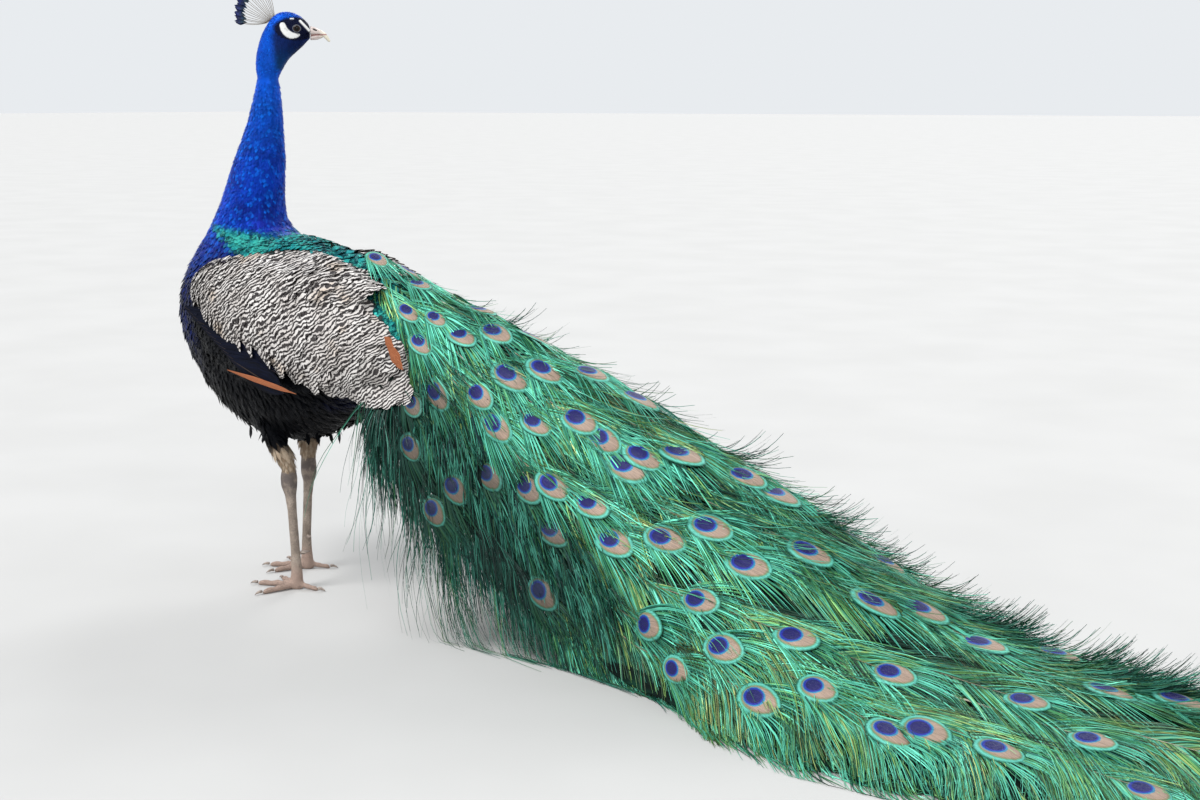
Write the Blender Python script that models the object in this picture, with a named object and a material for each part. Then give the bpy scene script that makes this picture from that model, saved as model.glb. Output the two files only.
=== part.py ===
import math
from collections import namedtuple

import bmesh
import bpy
from mathutils import Matrix, Vector

# Peafowl cock at life size, standing with its head turned back and its train laid on the floor.
# Metres, +Z up. The breast faces -X, the train runs toward +X and the bird's left side is -Y.
# Side-view points are (x, z) pairs. Everything hangs on one empty, which puts the middle of the
# finished bird's footprint at the origin.

GAP = 0.00035               # clear space between touching pieces
RING = 20                   # points round a neck or trunk section

NECK_TOP = 0.784            # height of the joint between neck and head
NECK_CUT = 3.55             # places of the thin cuts along the list of body sections
SHOULDER_CUT = 6.55

HEAD_PLACE = (-0.066, 0.004)            # back of the head, over the top of the neck
HEAD_TURN = math.radians(42)            # the bill points back past the bird's right shoulder
EYE_RADIUS = 0.0068
EYE_PLACE = (0.0396, 0.0100, 0.8570)    # forward, sideways and up in the head's own frame

CREST_SHAFTS = 9
CREST_LENGTH = 0.058
CREST_SPREAD = (math.radians(97), math.radians(187))
CREST_ROOT = (0.0010, 0.8705)

THIGH_FOOT = 0.1865         # height where the thigh feathers end above the hock
SHANK_FOOT = 0.0190         # height where the shank joins the foot
TOE_RADIUS = 0.0062
CLAW_LENGTH = 0.013

TRAIN_START = 0.055
TRAIN_CUT = 0.480
TRAIN_REST = 0.950          # from here the train lies wholly on the floor
TRAIN_TIP = 1.620
TRAIN_LOBES = 8             # feather ends along each side of the fan
TRAIN_LEAN = 0.86           # the right side is swept in this much against the left
TRAIN_EDGE = 0.0045

Section = namedtuple("Section", "back front half_width widest")
Rib = namedtuple("Rib", "spine ridge reach edge hollow")

# Neck and trunk: each section runs from the nape or back to the throat, breast or belly.
BODY = [
    Section((-0.0530, NECK_TOP - GAP), (-0.0890, NECK_TOP - GAP), 0.0175, 0.50),
    Section((-0.0500, 0.7550), (-0.0955, 0.7550), 0.0225, 0.50),
    Section((-0.0480, 0.7100), (-0.1140, 0.7100), 0.0255, 0.50),
    Section((-0.0480, 0.6600), (-0.1430, 0.6560), 0.0320, 0.48),
    Section((-0.0550, 0.6120), (-0.1680, 0.5980), 0.0395, 0.48),
    Section((-0.0560, 0.5760), (-0.1980, 0.5450), 0.0530, 0.48),
    Section((-0.0400, 0.5540), (-0.2290, 0.4990), 0.0710, 0.48),
    Section((-0.0120, 0.5450), (-0.2500, 0.4450), 0.0890, 0.48),
    Section((0.0180, 0.5400), (-0.2450, 0.3780), 0.1010, 0.48),
    Section((0.0500, 0.5300), (-0.1980, 0.3030), 0.1090, 0.48),
    Section((0.0860, 0.5180), (-0.1180, 0.2420), 0.1120, 0.47),
    Section((0.1280, 0.5030), (-0.0220, 0.2280), 0.1100, 0.46),
    Section((0.1780, 0.4830), (0.0800, 0.2590), 0.1020, 0.46),
    Section((0.2350, 0.4590), (0.1780, 0.3100), 0.0850, 0.46),
    Section((0.2900, 0.4340), (0.2600, 0.3480), 0.0590, 0.48),
    Section((0.3300, 0.4120), (0.3200, 0.3760), 0.0300, 0.50),
]

# Head, in its own frame: forward from the back of the skull, and height above the floor.
HEAD = [
    Section((-0.0236, NECK_TOP), (0.0123, NECK_TOP), 0.0176, 0.50),
    Section((-0.0248, 0.8010), (0.0190, 0.7990), 0.0182, 0.48),
    Section((-0.0228, 0.8200), (0.0290, 0.8130), 0.0180, 0.45),
    Section((-0.0165, 0.8420), (0.0410, 0.8235), 0.0172, 0.45),
    Section((-0.0090, 0.8580), (0.0495, 0.8310), 0.0166, 0.42),
    Section((0.0010, 0.8725), (0.0535, 0.8350), 0.0163, 0.42),
    Section((0.0115, 0.8810), (0.0555, 0.8375), 0.0158, 0.42),
    Section((0.0240, 0.8835), (0.0568, 0.8390), 0.0150, 0.46),
    Section((0.0370, 0.8815), (0.0578, 0.8398), 0.0138, 0.52),
    Section((0.0480, 0.8755), (0.0586, 0.8402), 0.0118, 0.56),
    Section((0.0560, 0.8680), (0.0592, 0.8406), 0.0095, 0.58),
    Section((0.0600, 0.8615), (0.0600, 0.8412), 0.0074, 0.58),
]
BILL_UPPER = [
    Section((0.0540, 0.8630), (0.0500, 0.8474), 0.0078, 0.60),
    Section((0.0610, 0.8608), (0.0590, 0.8474), 0.0072, 0.62),
    Section((0.0690, 0.8585), (0.0670, 0.8484), 0.0060, 0.62),
    Section((0.0760, 0.8548), (0.0735, 0.8488), 0.0046, 0.58),
    Section((0.0820, 0.8496), (0.0780, 0.8480), 0.0033, 0.50),
    Section((0.0862, 0.8437), (0.0826, 0.8436), 0.0021, 0.50),
    Section((0.0884, 0.8392), (0.0874, 0.8391), 0.0007, 0.50),
]
BILL_LOWER = [
    Section((0.0500, 0.8468), (0.0520, 0.8396), 0.0068, 0.45),
    Section((0.0600, 0.8469), (0.0610, 0.8408), 0.0060, 0.42),
    Section((0.0690, 0.8479), (0.0700, 0.8414), 0.0048, 0.42),
    Section((0.0740, 0.8480), (0.0745, 0.8432), 0.0034, 0.42),
    Section((0.0778, 0.8470), (0.0778, 0.8450), 0.0013, 0.50),
]

# Wing rows: body section, then how far down from back to belly each row starts and ends,
# then how far it stands off the trunk.
WING_ROWS = [
    (6.70, 0.40, 0.58, 0.004), (7.05, 0.26, 0.62, 0.009), (7.60, 0.20, 0.62, 0.012),
    (8.30, 0.15, 0.585, 0.014), (9.10, 0.11, 0.555, 0.015), (10.0, 0.09, 0.515, 0.015),
    (10.9, 0.10, 0.555, 0.015), (11.8, 0.14, 0.640, 0.016), (12.5, 0.22, 0.780, 0.017),
    (13.1, 0.34, 0.900, 0.018), (13.6, 0.52, 0.930, 0.012),
]
FLIGHT_ROWS = [
    (7.90, 0.625, 0.66, 0.003), (8.40, 0.605, 0.70, 0.006), (9.10, 0.575, 0.715, 0.008),
    (9.80, 0.535, 0.675, 0.008), (10.5, 0.550, 0.645, 0.008), (11.2, 0.605, 0.665, 0.007),
    (11.8, 0.660, 0.695, 0.003),
]

# Legs, from inside the belly down: height, then the middle of the leg and its two half-widths.
LEGS = {
    "left": dict(
        side=-1,
        thigh=[(0.300, -0.062, -0.058, 0.034, 0.030), (0.262, -0.044, -0.057, 0.026, 0.022),
               (0.238, -0.030, -0.055, 0.0195, 0.0180), (0.212, -0.016, -0.053, 0.0180, 0.0165),
               (0.196, -0.009, -0.051, 0.0150, 0.0140), (THIGH_FOOT, -0.007, -0.050, 0.0125, 0.0120)],
        shank=[(THIGH_FOOT - GAP, -0.007, -0.050, 0.0118, 0.0112), (0.176, -0.007, -0.050, 0.0138, 0.0128),
               (0.163, -0.007, -0.050, 0.0132, 0.0120), (0.149, -0.005, -0.050, 0.0096, 0.0084),
               (0.125, -0.003, -0.0495, 0.0080, 0.0068), (0.060, 0.0005, -0.049, 0.0080, 0.0068),
               (0.034, 0.002, -0.049, 0.0090, 0.0080), (SHANK_FOOT, 0.002, -0.049, 0.0102, 0.0092)],
        foot=(0.001, -0.049), heading=math.radians(17),
        toes=dict(outer=(52, 0.058), middle=(0, 0.067), inner=(-40, 0.054), hind=(171, 0.040)),
        spur=0.056),
    "right": dict(
        side=1,
        thigh=[(0.300, -0.068, 0.056, 0.034, 0.030), (0.262, -0.060, 0.053, 0.025, 0.022),
               (0.238, -0.056, 0.050, 0.0190, 0.0180), (0.212, -0.055, 0.048, 0.0175, 0.0165),
               (0.194, -0.056, 0.047, 0.0150, 0.0140), (THIGH_FOOT, -0.056, 0.047, 0.0125, 0.0120)],
        shank=[(THIGH_FOOT - GAP, -0.056, 0.047, 0.0118, 0.0112), (0.176, -0.056, 0.047, 0.0132, 0.0122),
               (0.160, -0.056, 0.047, 0.0134, 0.0124), (0.146, -0.057, 0.047, 0.0096, 0.0084),
               (0.122, -0.059, 0.046, 0.0080, 0.0068), (0.060, -0.063, 0.045, 0.0080, 0.0068),
               (0.034, -0.064, 0.045, 0.0090, 0.0080), (SHANK_FOOT, -0.064, 0.045, 0.0102, 0.0092)],
        foot=(-0.064, 0.045), heading=math.radians(24),
        toes=dict(outer=(-42, 0.057), middle=(0, 0.064), inner=(38, 0.056), hind=(184, 0.038)),
        spur=0.054),
}

# Train ribs: place along the spine, ridge height, half-width, height of the lower edge and
# height of the hollow underneath.
TRAIN = [
    Rib(0.055, 0.5380, (0.055, 0.038), 0.516, 0.500),
    Rib(0.110, 0.5220, (0.110, 0.084), 0.430, 0.420),
    Rib(0.165, 0.5010, (0.165, 0.104), 0.320, 0.400),
    Rib(0.230, 0.4780, (0.230, 0.120), 0.244, 0.395),
    Rib(0.300, 0.4540, (0.300, 0.128), 0.184, 0.392),
    Rib(0.380, 0.4250, (0.380, 0.130), 0.126, 0.358),
    Rib(0.480, 0.3900, (0.480, 0.133), 0.072, 0.308),
    Rib(0.580, 0.3500, (0.580, 0.142), 0.030, 0.244),
    Rib(0.680, 0.3020, (0.680, 0.160), 0.000, 0.166),
    Rib(0.760, 0.2660, (0.760, 0.190), 0.000, 0.090),
    Rib(0.840, 0.2270, (0.840, 0.226), 0.000, 0.000),
    Rib(0.900, 0.1930, (0.900, 0.246), 0.000, 0.000),
    Rib(0.950, 0.1650, (0.950, 0.258), 0.000, 0.000),
]
RIDGE_BEHIND = [(0.950, 0.1650), (1.030, 0.1230), (1.110, 0.0920), (1.190, 0.0740), (1.280, 0.0620),
                (1.400, 0.0500)]

# Tail rows: place, height at the middle, half-width and how far the sides droop.
TAIL_ROWS = [(0.285, 0.3820, 0.018, 0.006), (0.360, 0.3540, 0.040, 0.016), (0.460, 0.3010, 0.057, 0.027),
             (0.560, 0.2440, 0.067, 0.036), (0.620, 0.2020, 0.062, 0.034), (0.645, 0.1830, 0.046, 0.024)]
TAIL_THICKNESS = 0.007

COLOURS = {
    "skin_blue": ((0.010, 0.055, 0.420), 0.35, 0.5), "mantle": ((0.012, 0.180, 0.200), 0.40, 0.4),
    "belly": ((0.004, 0.008, 0.020), 0.60, 0.1), "barred": ((0.420, 0.370, 0.330), 0.75, 0.0),
    "flight": ((0.012, 0.016, 0.040), 0.50, 0.2), "thigh": ((0.460, 0.350, 0.260), 0.80, 0.0),
    "scale": ((0.330, 0.270, 0.230), 0.60, 0.0), "claw": ((0.180, 0.130, 0.100), 0.40, 0.0),
    "horn": ((0.560, 0.480, 0.420), 0.35, 0.0), "eye": ((0.020, 0.010, 0.006), 0.05, 0.0),
    "train": ((0.030, 0.220, 0.110), 0.45, 0.4), "tail": ((0.120, 0.070, 0.040), 0.75, 0.0),
}

for old in list(bpy.data.objects):
    bpy.data.objects.remove(old, do_unlink=True)
bird = bpy.data.collections.new("peacock")
cutters = bpy.data.collections.new("peacock_cutters")
bpy.context.scene.collection.children.link(bird)
bpy.context.scene.collection.children.link(cutters)
footprint = bpy.data.objects.new("footprint", None)
headFrame = bpy.data.objects.new("head_frame", None)
for empty in (footprint, headFrame):
    bird.objects.link(empty)
headFrame.parent = footprint
headFrame.location = (*HEAD_PLACE, 0)
headFrame.rotation_euler.z = HEAD_TURN


def material(kind):
    if kind in bpy.data.materials:
        return bpy.data.materials[kind]
    colour, roughness, metallic = COLOURS[kind]
    made = bpy.data.materials.new(kind)
    made.use_nodes = True
    shader = made.node_tree.nodes["Principled BSDF"]
    shader.inputs["Base Color"].default_value = (*colour, 1)
    shader.inputs["Roughness"].default_value = roughness
    shader.inputs["Metallic"].default_value = metallic
    made.diffuse_color = (*colour, 1)
    return made


def add(name, bm, kind=None, parent=footprint):
    """A named object from a bmesh; without a material it is a cutter."""
    bmesh.ops.recalc_face_normals(bm, faces=bm.faces)
    bmesh.ops.triangulate(bm, faces=bm.faces)   # so a piece and its grown copy bend along the same lines
    mesh = bpy.data.meshes.new(name)
    bm.to_mesh(mesh)
    bm.free()
    made = bpy.data.objects.new(name, mesh)
    made.parent = parent
    if kind:
        mesh.materials.append(material(kind))
        mesh.shade_smooth()
        mesh.set_sharp_from_angle(angle=math.radians(50))
        bird.objects.link(made)
    else:
        made.hide_render = True
        made.display_type = "WIRE"
        cutters.objects.link(made)
    return made


def skinned(rings):
    """Closed mesh through rings of equally many points, with a cap on each end."""
    bm = bmesh.new()
    rows = [[bm.verts.new(point) for point in ring] for ring in rings]
    for row, following in zip(rows, rows[1:]):
        for k in range(len(row)):
            j = (k + 1) % len(row)
            bm.faces.new((row[k], row[j], following[j], following[k]))
    bm.faces.new(rows[0][::-1])
    bm.faces.new(rows[-1])
    return bm


def grown(source, amount, name=None):
    """Cutter shaped like a piece, a little larger all round."""
    bm = bmesh.new()
    bm.from_mesh(source.data)
    bm.normal_update()
    for vert, normal in [(v, v.normal.copy()) for v in bm.verts]:
        vert.co += normal * amount * vert.calc_shell_factor()
    return add(name or source.name + "_clear", bm, parent=source.parent)


def boolean(piece, other, operation="DIFFERENCE"):
    step = piece.modifiers.new(operation.lower(), "BOOLEAN")
    step.operation = operation
    step.solver = "EXACT"
    step.object = other


def fused(name, shapes, kind, parent=footprint):
    """One solid out of overlapping bmeshes."""
    whole = add(name, shapes[0], kind, parent)
    for k, shape in enumerate(shapes[1:]):
        boolean(whole, add("%s_part_%02d" % (name, k), shape, parent=parent), "UNION")
    return whole


def along(values, place):
    """Smooth reading between the entries of a list of equally long tuples."""
    last = len(values) - 1
    k = min(int(max(place, 0.0)), last - 1)
    t = place - k
    p0, p1, p2, p3 = (values[min(max(j, 0), last)] for j in (k - 1, k, k + 1, k + 2))
    return tuple(
        0.5 * (2 * b + (c - a) * t + (2 * a - 5 * b + 4 * c - d) * t * t + (3 * b - a - 3 * c + d) * t ** 3)
        for a, b, c, d in zip(p0, p1, p2, p3))


def section_at(sections, place):
    flat = [(*s.back, *s.front, s.half_width, s.widest) for s in sections]
    x0, z0, x1, z1, half_width, widest = along(flat, place)
    return Section((x0, z0), (x1, z1), half_width, widest)


def on_section(section, angle, out=0.0, full=0.92):
    """Point of a body section at an angle from the back, moved out of the surface."""
    cos, sin = math.cos(angle), math.sin(angle)
    down = (1 - math.copysign(abs(cos) ** full, cos)) / 2
    down = down ** (math.log(section.widest) / math.log(0.5))
    across = math.copysign(abs(sin) ** full, sin)
    back, front = Vector((section.back[0], 0, section.back[1])), Vector((section.front[0], 0, section.front[1]))
    point = back.lerp(front, down) + Vector((0, section.half_width * across, 0))
    length = (front - back).length / 2
    normal = (back - front).normalized() * cos / max(length, 1e-4) + Vector((0, sin / section.half_width, 0))
    return point + normal.normalized() * out


def section_ring(section, points=RING, full=0.92):
    return [on_section(section, math.tau * k / points, full=full) for k in range(points)]


def body_run(first, last, steps):
    return [section_ring(section_at(BODY, first + (last - first) * k / steps)) for k in range(steps + 1)]


def stood_off(ring, following, distance):
    """The ring moved toward the next one, to leave a thin cut between two pieces."""
    middle = sum(ring, Vector()) / len(ring)
    normal = (ring[5] - middle).cross(ring[0] - middle).normalized()
    if normal.dot(sum(following, Vector()) / len(following) - middle) < 0:
        normal.negate()
    return [point + normal * distance for point in ring]


# Neck and trunk, one smooth form parted by thin cuts.
neckUpper = body_run(0, NECK_CUT, 6)
neckLower = body_run(NECK_CUT, SHOULDER_CUT, 6)
trunkRings = body_run(SHOULDER_CUT, len(BODY) - 1, 17)
neckLower[0] = stood_off(neckLower[0], neckLower[1], GAP)
trunkRings[0] = stood_off(trunkRings[0], trunkRings[2], GAP)
add("neck_upper", skinned(neckUpper), "skin_blue")
add("neck_lower", skinned(neckLower), "skin_blue")
trunk = add("trunk", skinned(trunkRings), "belly")
trunkClear = grown(trunk, GAP)

# Head with sockets, eyes and the two halves of the bill.
headRings = [section_ring(section_at(HEAD, (len(HEAD) - 1) * k / 16), 18, 0.94) for k in range(17)]
head = add("head", skinned(headRings), "skin_blue", headFrame)
headClear = grown(head, GAP)
for side, name in ((1, "eye_left"), (-1, "eye_right")):
    for kind, radius, label in (("eye", EYE_RADIUS, name), (None, EYE_RADIUS + GAP, name + "_socket")):
        ball = bmesh.new()
        bmesh.ops.create_uvsphere(ball, u_segments=14, v_segments=8, radius=radius)
        forward, sideways, up = EYE_PLACE
        bmesh.ops.translate(ball, verts=ball.verts, vec=(forward, side * sideways, up))
        made = add(label, ball, kind, headFrame)
    boolean(head, made)
upper = add("bill_upper", skinned([section_ring(s, 10, 0.9) for s in BILL_UPPER]), "horn", headFrame)
lower = add("bill_lower", skinned([section_ring(s, 10, 0.9) for s in BILL_LOWER]), "horn", headFrame)
for bill in (upper, lower):
    boolean(bill, headClear)

# Crest: a fan of bare shafts with a webbed drop at each tip, on one small root pad.
shapes = []
pad = bmesh.new()
bmesh.ops.create_uvsphere(pad, u_segments=8, v_segments=6, radius=1.0)
padPlace = Matrix.Translation((CREST_ROOT[0], 0, CREST_ROOT[1]))
padPlace @= Matrix.Rotation(math.radians(-50), 4, "Y") @ Matrix.Diagonal((0.0120, 0.0050, 0.0052, 1))
bmesh.ops.transform(pad, verts=pad.verts, matrix=padPlace)
shapes.append(pad)
for k in range(CREST_SHAFTS):
    share = k / (CREST_SHAFTS - 1)
    lean = CREST_SPREAD[0] + (CREST_SPREAD[1] - CREST_SPREAD[0]) * share
    reach = CREST_LENGTH * (1.0 - 0.10 * share + 0.05 * math.sin(share * math.pi))
    run = Vector((math.cos(lean), (k % 3 - 1) * 0.10, math.sin(lean))).normalized()
    over = Vector((-run.z, 0, run.x)).normalized()
    root = Vector((CREST_ROOT[0] + 0.005 * (1 - 2 * share), 0, CREST_ROOT[1] + 0.004 * (1 - 2 * share)))
    rings = []
    for way, wide, thick in ((0.03, 0.0011, 0.0011), (0.60, 0.0007, 0.0007), (0.70, 0.0024, 0.0009),
                             (0.85, 0.0048, 0.0011), (0.95, 0.0040, 0.0010), (1.00, 0.0012, 0.0006)):
        middle = root + run * reach * way
        sideways = run.cross(over)
        rings.append([middle + over * wide * math.cos(math.tau * j / 6) + sideways * thick * math.sin(math.tau * j / 6)
                      for j in range(6)])
    shapes.append(skinned(rings))
crest = fused("crest", shapes, "skin_blue", headFrame)
boolean(crest, headClear)


def panel(name, rows, kind, side, columns=7):
    """A plate of overlapping feathers that follows the side of the trunk."""
    rings = []
    for place, top, bottom, off in rows:
        section = section_at(BODY, place)
        first, last = (math.acos(1 - 2 * q) for q in (top, bottom))
        outer, inner = [], []
        for k in range(columns):
            share = k / (columns - 1)
            angle = side * (first + (last - first) * share)
            rise = 0.35 + 0.65 * math.sin(math.pi * share) ** 0.6
            outer.append(on_section(section, angle, off * rise))
            inner.append(on_section(section, angle, -0.006))
        rings.append(outer + inner[::-1])
    piece = add(name, skinned(rings), kind)
    boolean(piece, trunkClear)
    return piece


wingClear = {}
for name, side in (("left", -1), ("right", 1)):
    wing = panel("wing_" + name, WING_ROWS, "barred", side)
    flight = panel("flight_feathers_" + name, FLIGHT_ROWS, "flight", side, 5)
    wingClear[name] = [grown(wing, 5 * GAP), grown(flight, 5 * GAP)]
    boolean(flight, grown(wing, GAP, "wing_%s_near" % name))


def leg_ring(height, x, y, fore, wide, points=12):
    return [Vector((x + fore * math.cos(math.tau * k / points), y + wide * math.sin(math.tau * k / points), height))
            for k in range(points)]


def toe(start, heading, length, thick, rise=0.0):
    """A toe with its joints, flat underneath where it bears on the floor."""
    run = Vector((-math.cos(heading), -math.sin(heading), 0))
    over = Vector((-run.y, run.x, 0))
    rings = []
    for way, swell in ((0.0, 1.10), (0.18, 1.0), (0.36, 0.84), (0.50, 0.98), (0.66, 0.80), (0.80, 0.94),
                       (0.93, 0.82), (1.0, 0.45)):
        radius = thick * swell * (1 - 0.16 * way)
        lift = rise * (1 - way) ** 2 + radius * 0.86
        middle = Vector((start[0], start[1], 0)) + run * length * way + Vector((0, 0, lift))
        ring = [middle + over * radius * math.cos(math.tau * k / 8 + 0.39) + Vector((0, 0, radius * math.sin(math.tau * k / 8 + 0.39)))
                for k in range(8)]
        rings.append([Vector((p.x, p.y, max(p.z, 0.0))) for p in ring])
    return skinned(rings)


for name, leg in LEGS.items():
    thigh = add("thigh_" + name, skinned([leg_ring(*row) for row in leg["thigh"]]), "thigh")
    boolean(thigh, trunkClear)
    shank = add("shank_" + name, skinned([leg_ring(*row) for row in leg["shank"]]), "scale")
    shankClear = grown(shank, GAP)
    x, y = leg["foot"]
    sole = [leg_ring(height, x, y, wide, wide * 0.92, 10) for height, wide in
            ((SHANK_FOOT - GAP, 0.0100), (0.012, 0.0112), (0.004, 0.0118), (0.0, 0.0105))]
    shapes = [skinned(sole)]
    claws = []
    for label, (turn, length) in leg["toes"].items():
        heading = leg["heading"] + math.radians(turn)
        hind = label == "hind"
        thick = TOE_RADIUS * (0.86 if hind else 1.0)
        shapes.append(toe((x, y), heading, length, thick, 0.006 if hind else 0.003))
        run = Vector((-math.cos(heading), -math.sin(heading), 0))
        over = Vector((-run.y, run.x, 0))
        start = Vector((x, y, 0.0046)) + run * (length + GAP)
        rings = []
        for way, radius, height in ((0, 0.0027, 0.0046), (0.4, 0.0024, 0.0048), (0.75, 0.0015, 0.0034), (1.0, 0.0005, 0.0012)):
            middle = start + run * CLAW_LENGTH * way
            middle.z = height
            rings.append([middle + over * radius * math.cos(math.tau * k / 6) + Vector((0, 0, radius * math.sin(math.tau * k / 6)))
                          for k in range(6)])
        claws.append(add("claw_%s_%s" % (label, name), skinned(rings), "claw"))
    foot = fused("foot_" + name, shapes, "scale")
    # The spur grows from the back and inner side of the shank.
    along_shank = leg["spur"]
    shank_x, shank_y = leg["shank"][5][1:3]
    run = Vector((0.86, -0.50 * leg["side"], 0.10)).normalized()
    start = Vector((shank_x, shank_y, along_shank)) + run * 0.004
    over = run.cross(Vector((0, 0, 1))).normalized()
    rise = over.cross(run)
    rings = []
    for way, radius in ((0, 0.0036), (0.45, 0.0032), (0.8, 0.0018), (1.0, 0.0005)):
        middle = start + run * 0.020 * way + Vector((0, 0, 0.002 * way * way))
        rings.append([middle + over * radius * math.cos(math.tau * k / 6) + rise * radius * math.sin(math.tau * k / 6)
                      for k in range(6)])
    spur = add("spur_" + name, skinned(rings), "claw")
    boolean(spur, shankClear)


def bezier(points, t):
    a, b, c, d = points
    u = 1 - t
    return tuple(u ** 3 * p + 3 * u * u * t * q + 3 * u * t * t * r + t ** 3 * s for p, q, r, s in zip(a, b, c, d))


def swept(x):
    share = min(max((x - 0.55) / (TRAIN_REST - 0.55), 0.0), 1.0)
    return 1 + (TRAIN_LEAN - 1) * share * share * (3 - 2 * share)


def rib_outside(rib, side, steps=5, start=GAP / 2):
    """Points over the feathers from the ridge down to the lower edge."""
    edge = rib.edge + TRAIN_EDGE
    fall = rib.ridge - edge
    steep = min(1.0, fall / math.hypot(rib.reach[0] - rib.spine, rib.reach[1]) / 2.0)
    curve = ((0, rib.ridge), (0.20 + 0.15 * steep, rib.ridge),
             (0.55 + 0.35 * steep, edge + (0.28 + 0.20 * steep) * fall), (1.0, edge))
    lean = swept(rib.spine) if side > 0 else 1.0
    points = []
    for k in range(steps + 1):
        share, height = bezier(curve, k / steps)
        x = rib.spine + (rib.reach[0] - rib.spine) * share
        y = max(rib.reach[1] * share * lean, start)
        points.append(Vector((x, side * y, height)))
    return points


def rib_inside(rib, side, steps=3, start=GAP / 2):
    """Points back from the lower edge to the middle of the hollow."""
    reach = rib.reach[1] * (swept(rib.spine) if side > 0 else 1.0)
    wall = 0.012 if rib.hollow > rib.edge else 0.002
    curve = ((reach - wall, rib.edge), (reach - 0.6 * wall - 0.10 * reach, rib.edge + 0.62 * (rib.hollow - rib.edge)),
             (0.55 * reach, rib.hollow), (start, rib.hollow))
    return [Vector((rib.spine, side * y, z)) for y, z in (bezier(curve, k / steps) for k in range(steps + 1))]


def rib_at(place):
    flat = [(r.spine, r.ridge, r.reach[1], r.edge, r.hollow) for r in TRAIN]
    spine, ridge, reach, edge, hollow = along(flat, place)
    return Rib(spine, ridge, (spine, reach), max(edge, 0.0), max(hollow, 0.0))


def rib_place(x):
    """Where in the list of train ribs a distance along the spine falls."""
    for k in range(len(TRAIN) - 1):
        if TRAIN[k + 1].spine >= x:
            return k + (x - TRAIN[k].spine) / (TRAIN[k + 1].spine - TRAIN[k].spine)
    return len(TRAIN) - 1.0


cut = rib_place(TRAIN_CUT)
for name, side in (("left", -1), ("right", 1)):
    for part, first, last, steps in (("fore", 0.0, cut, 9), ("middle", cut, len(TRAIN) - 1.0, 9)):
        rings = []
        for k in range(steps + 1):
            rib = rib_at(first + (last - first) * k / steps)
            if part == "fore" and k == steps:
                rib = rib._replace(spine=rib.spine - GAP, reach=(rib.spine - GAP, rib.reach[1]))
            if part == "middle" and k == steps:
                rib = rib._replace(spine=rib.spine - GAP, reach=(rib.spine - GAP, rib.reach[1]))
            rings.append(rib_outside(rib, side) + rib_inside(rib, side))
        piece = add("train_%s_%s" % (part, name), skinned(rings), "train")
        if part == "fore":
            boolean(piece, trunkClear)
            for cutter in wingClear[name]:
                boolean(piece, cutter)

# The rear of the train is a fan on the floor whose rim follows the feather ends.
steps = TRAIN_LOBES * 5
ribs = []
for k in range(steps + 1):
    turn = k / steps * math.pi / 2
    sweep = math.sin(turn) ** 1.15
    x = TRAIN_REST + (TRAIN_TIP - TRAIN_REST) * math.sin(turn) ** 1.35
    y = TRAIN[-1].reach[1] * (1 - math.sin(turn) ** 3.2) + 0.040 * math.sin(2 * turn)
    spine = TRAIN_REST + (RIDGE_BEHIND[-1][0] - TRAIN_REST) * sweep
    lobe = abs(math.sin((k / 5) * math.pi)) ** 0.7 - 0.6
    out = 1 + (0.075 * lobe if 0 < k < steps else 0.0)
    reach = (spine + (x - spine) * out, y * out if k < steps else 0.0)
    place = next((j + (spine - a[0]) / (b[0] - a[0]) for j, (a, b) in enumerate(zip(RIDGE_BEHIND, RIDGE_BEHIND[1:]))
                  if b[0] >= spine - 1e-9), len(RIDGE_BEHIND) - 1.0)
    ribs.append(Rib(spine, along(RIDGE_BEHIND, place)[1], reach, 0.0, 0.0))
bm = bmesh.new()
spineTop = [bm.verts.new((rib.spine, 0, rib.ridge)) for rib in ribs]
columns = {}
for side in (-1, 1):
    for k, rib in enumerate(ribs):
        if k == steps and side == 1:
            columns[side, k] = columns[-1, k]
            continue
        points = rib_outside(rib, side, 4, 0.0)[1:]
        low = Vector((points[-1].x, points[-1].y, 0.0))
        columns[side, k] = [bm.verts.new(p) for p in points + [low]]
for side in (-1, 1):
    for k in range(steps):
        here = [spineTop[k]] + columns[side, k]
        there = [spineTop[k + 1]] + columns[side, k + 1]
        for a, b, c, d in zip(here, here[1:], there[1:], there):
            bm.faces.new((a, b, c, d))
bottomSpine = [bm.verts.new((rib.spine, 0, 0)) for rib in ribs]
for side in (-1, 1):
    for k in range(steps):
        bm.faces.new((bottomSpine[k], columns[side, k][-1], columns[side, k + 1][-1], bottomSpine[k + 1]))
    front = [spineTop[0]] + columns[side, 0] + [bottomSpine[0]]
    bm.faces.new(front)
add("train_rear", bm, "train")

# Tail: a short fan of plain feathers that carries the train from beneath.
rings = []
for x, z, half, droop in TAIL_ROWS:
    outline = [(half * share, z - droop * share * share) for share in (-1, -0.55, 0, 0.55, 1)]
    rings.append([Vector((x, y, h)) for y, h in outline] +
                 [Vector((x, y * 0.98, h - TAIL_THICKNESS)) for y, h in outline[::-1]])
tail = add("tail", skinned(rings), "tail")
boolean(tail, trunkClear)

# The middle of the footprint goes to the origin.
bpy.context.view_layer.update()
graph = bpy.context.evaluated_depsgraph_get()
corners = []
for piece in bird.objects:
    if piece.type == "MESH":
        seen = piece.evaluated_get(graph)
        corners += [seen.matrix_world @ Vector(v.co) for v in seen.data.vertices]
footprint.location = (-(min(c.x for c in corners) + max(c.x for c in corners)) / 2,
                      -(min(c.y for c in corners) + max(c.y for c in corners)) / 2, 0)
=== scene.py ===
import math

import bmesh
import bpy
import numpy as np
from mathutils import Euler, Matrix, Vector
from mathutils.bvhtree import BVHTree


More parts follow.
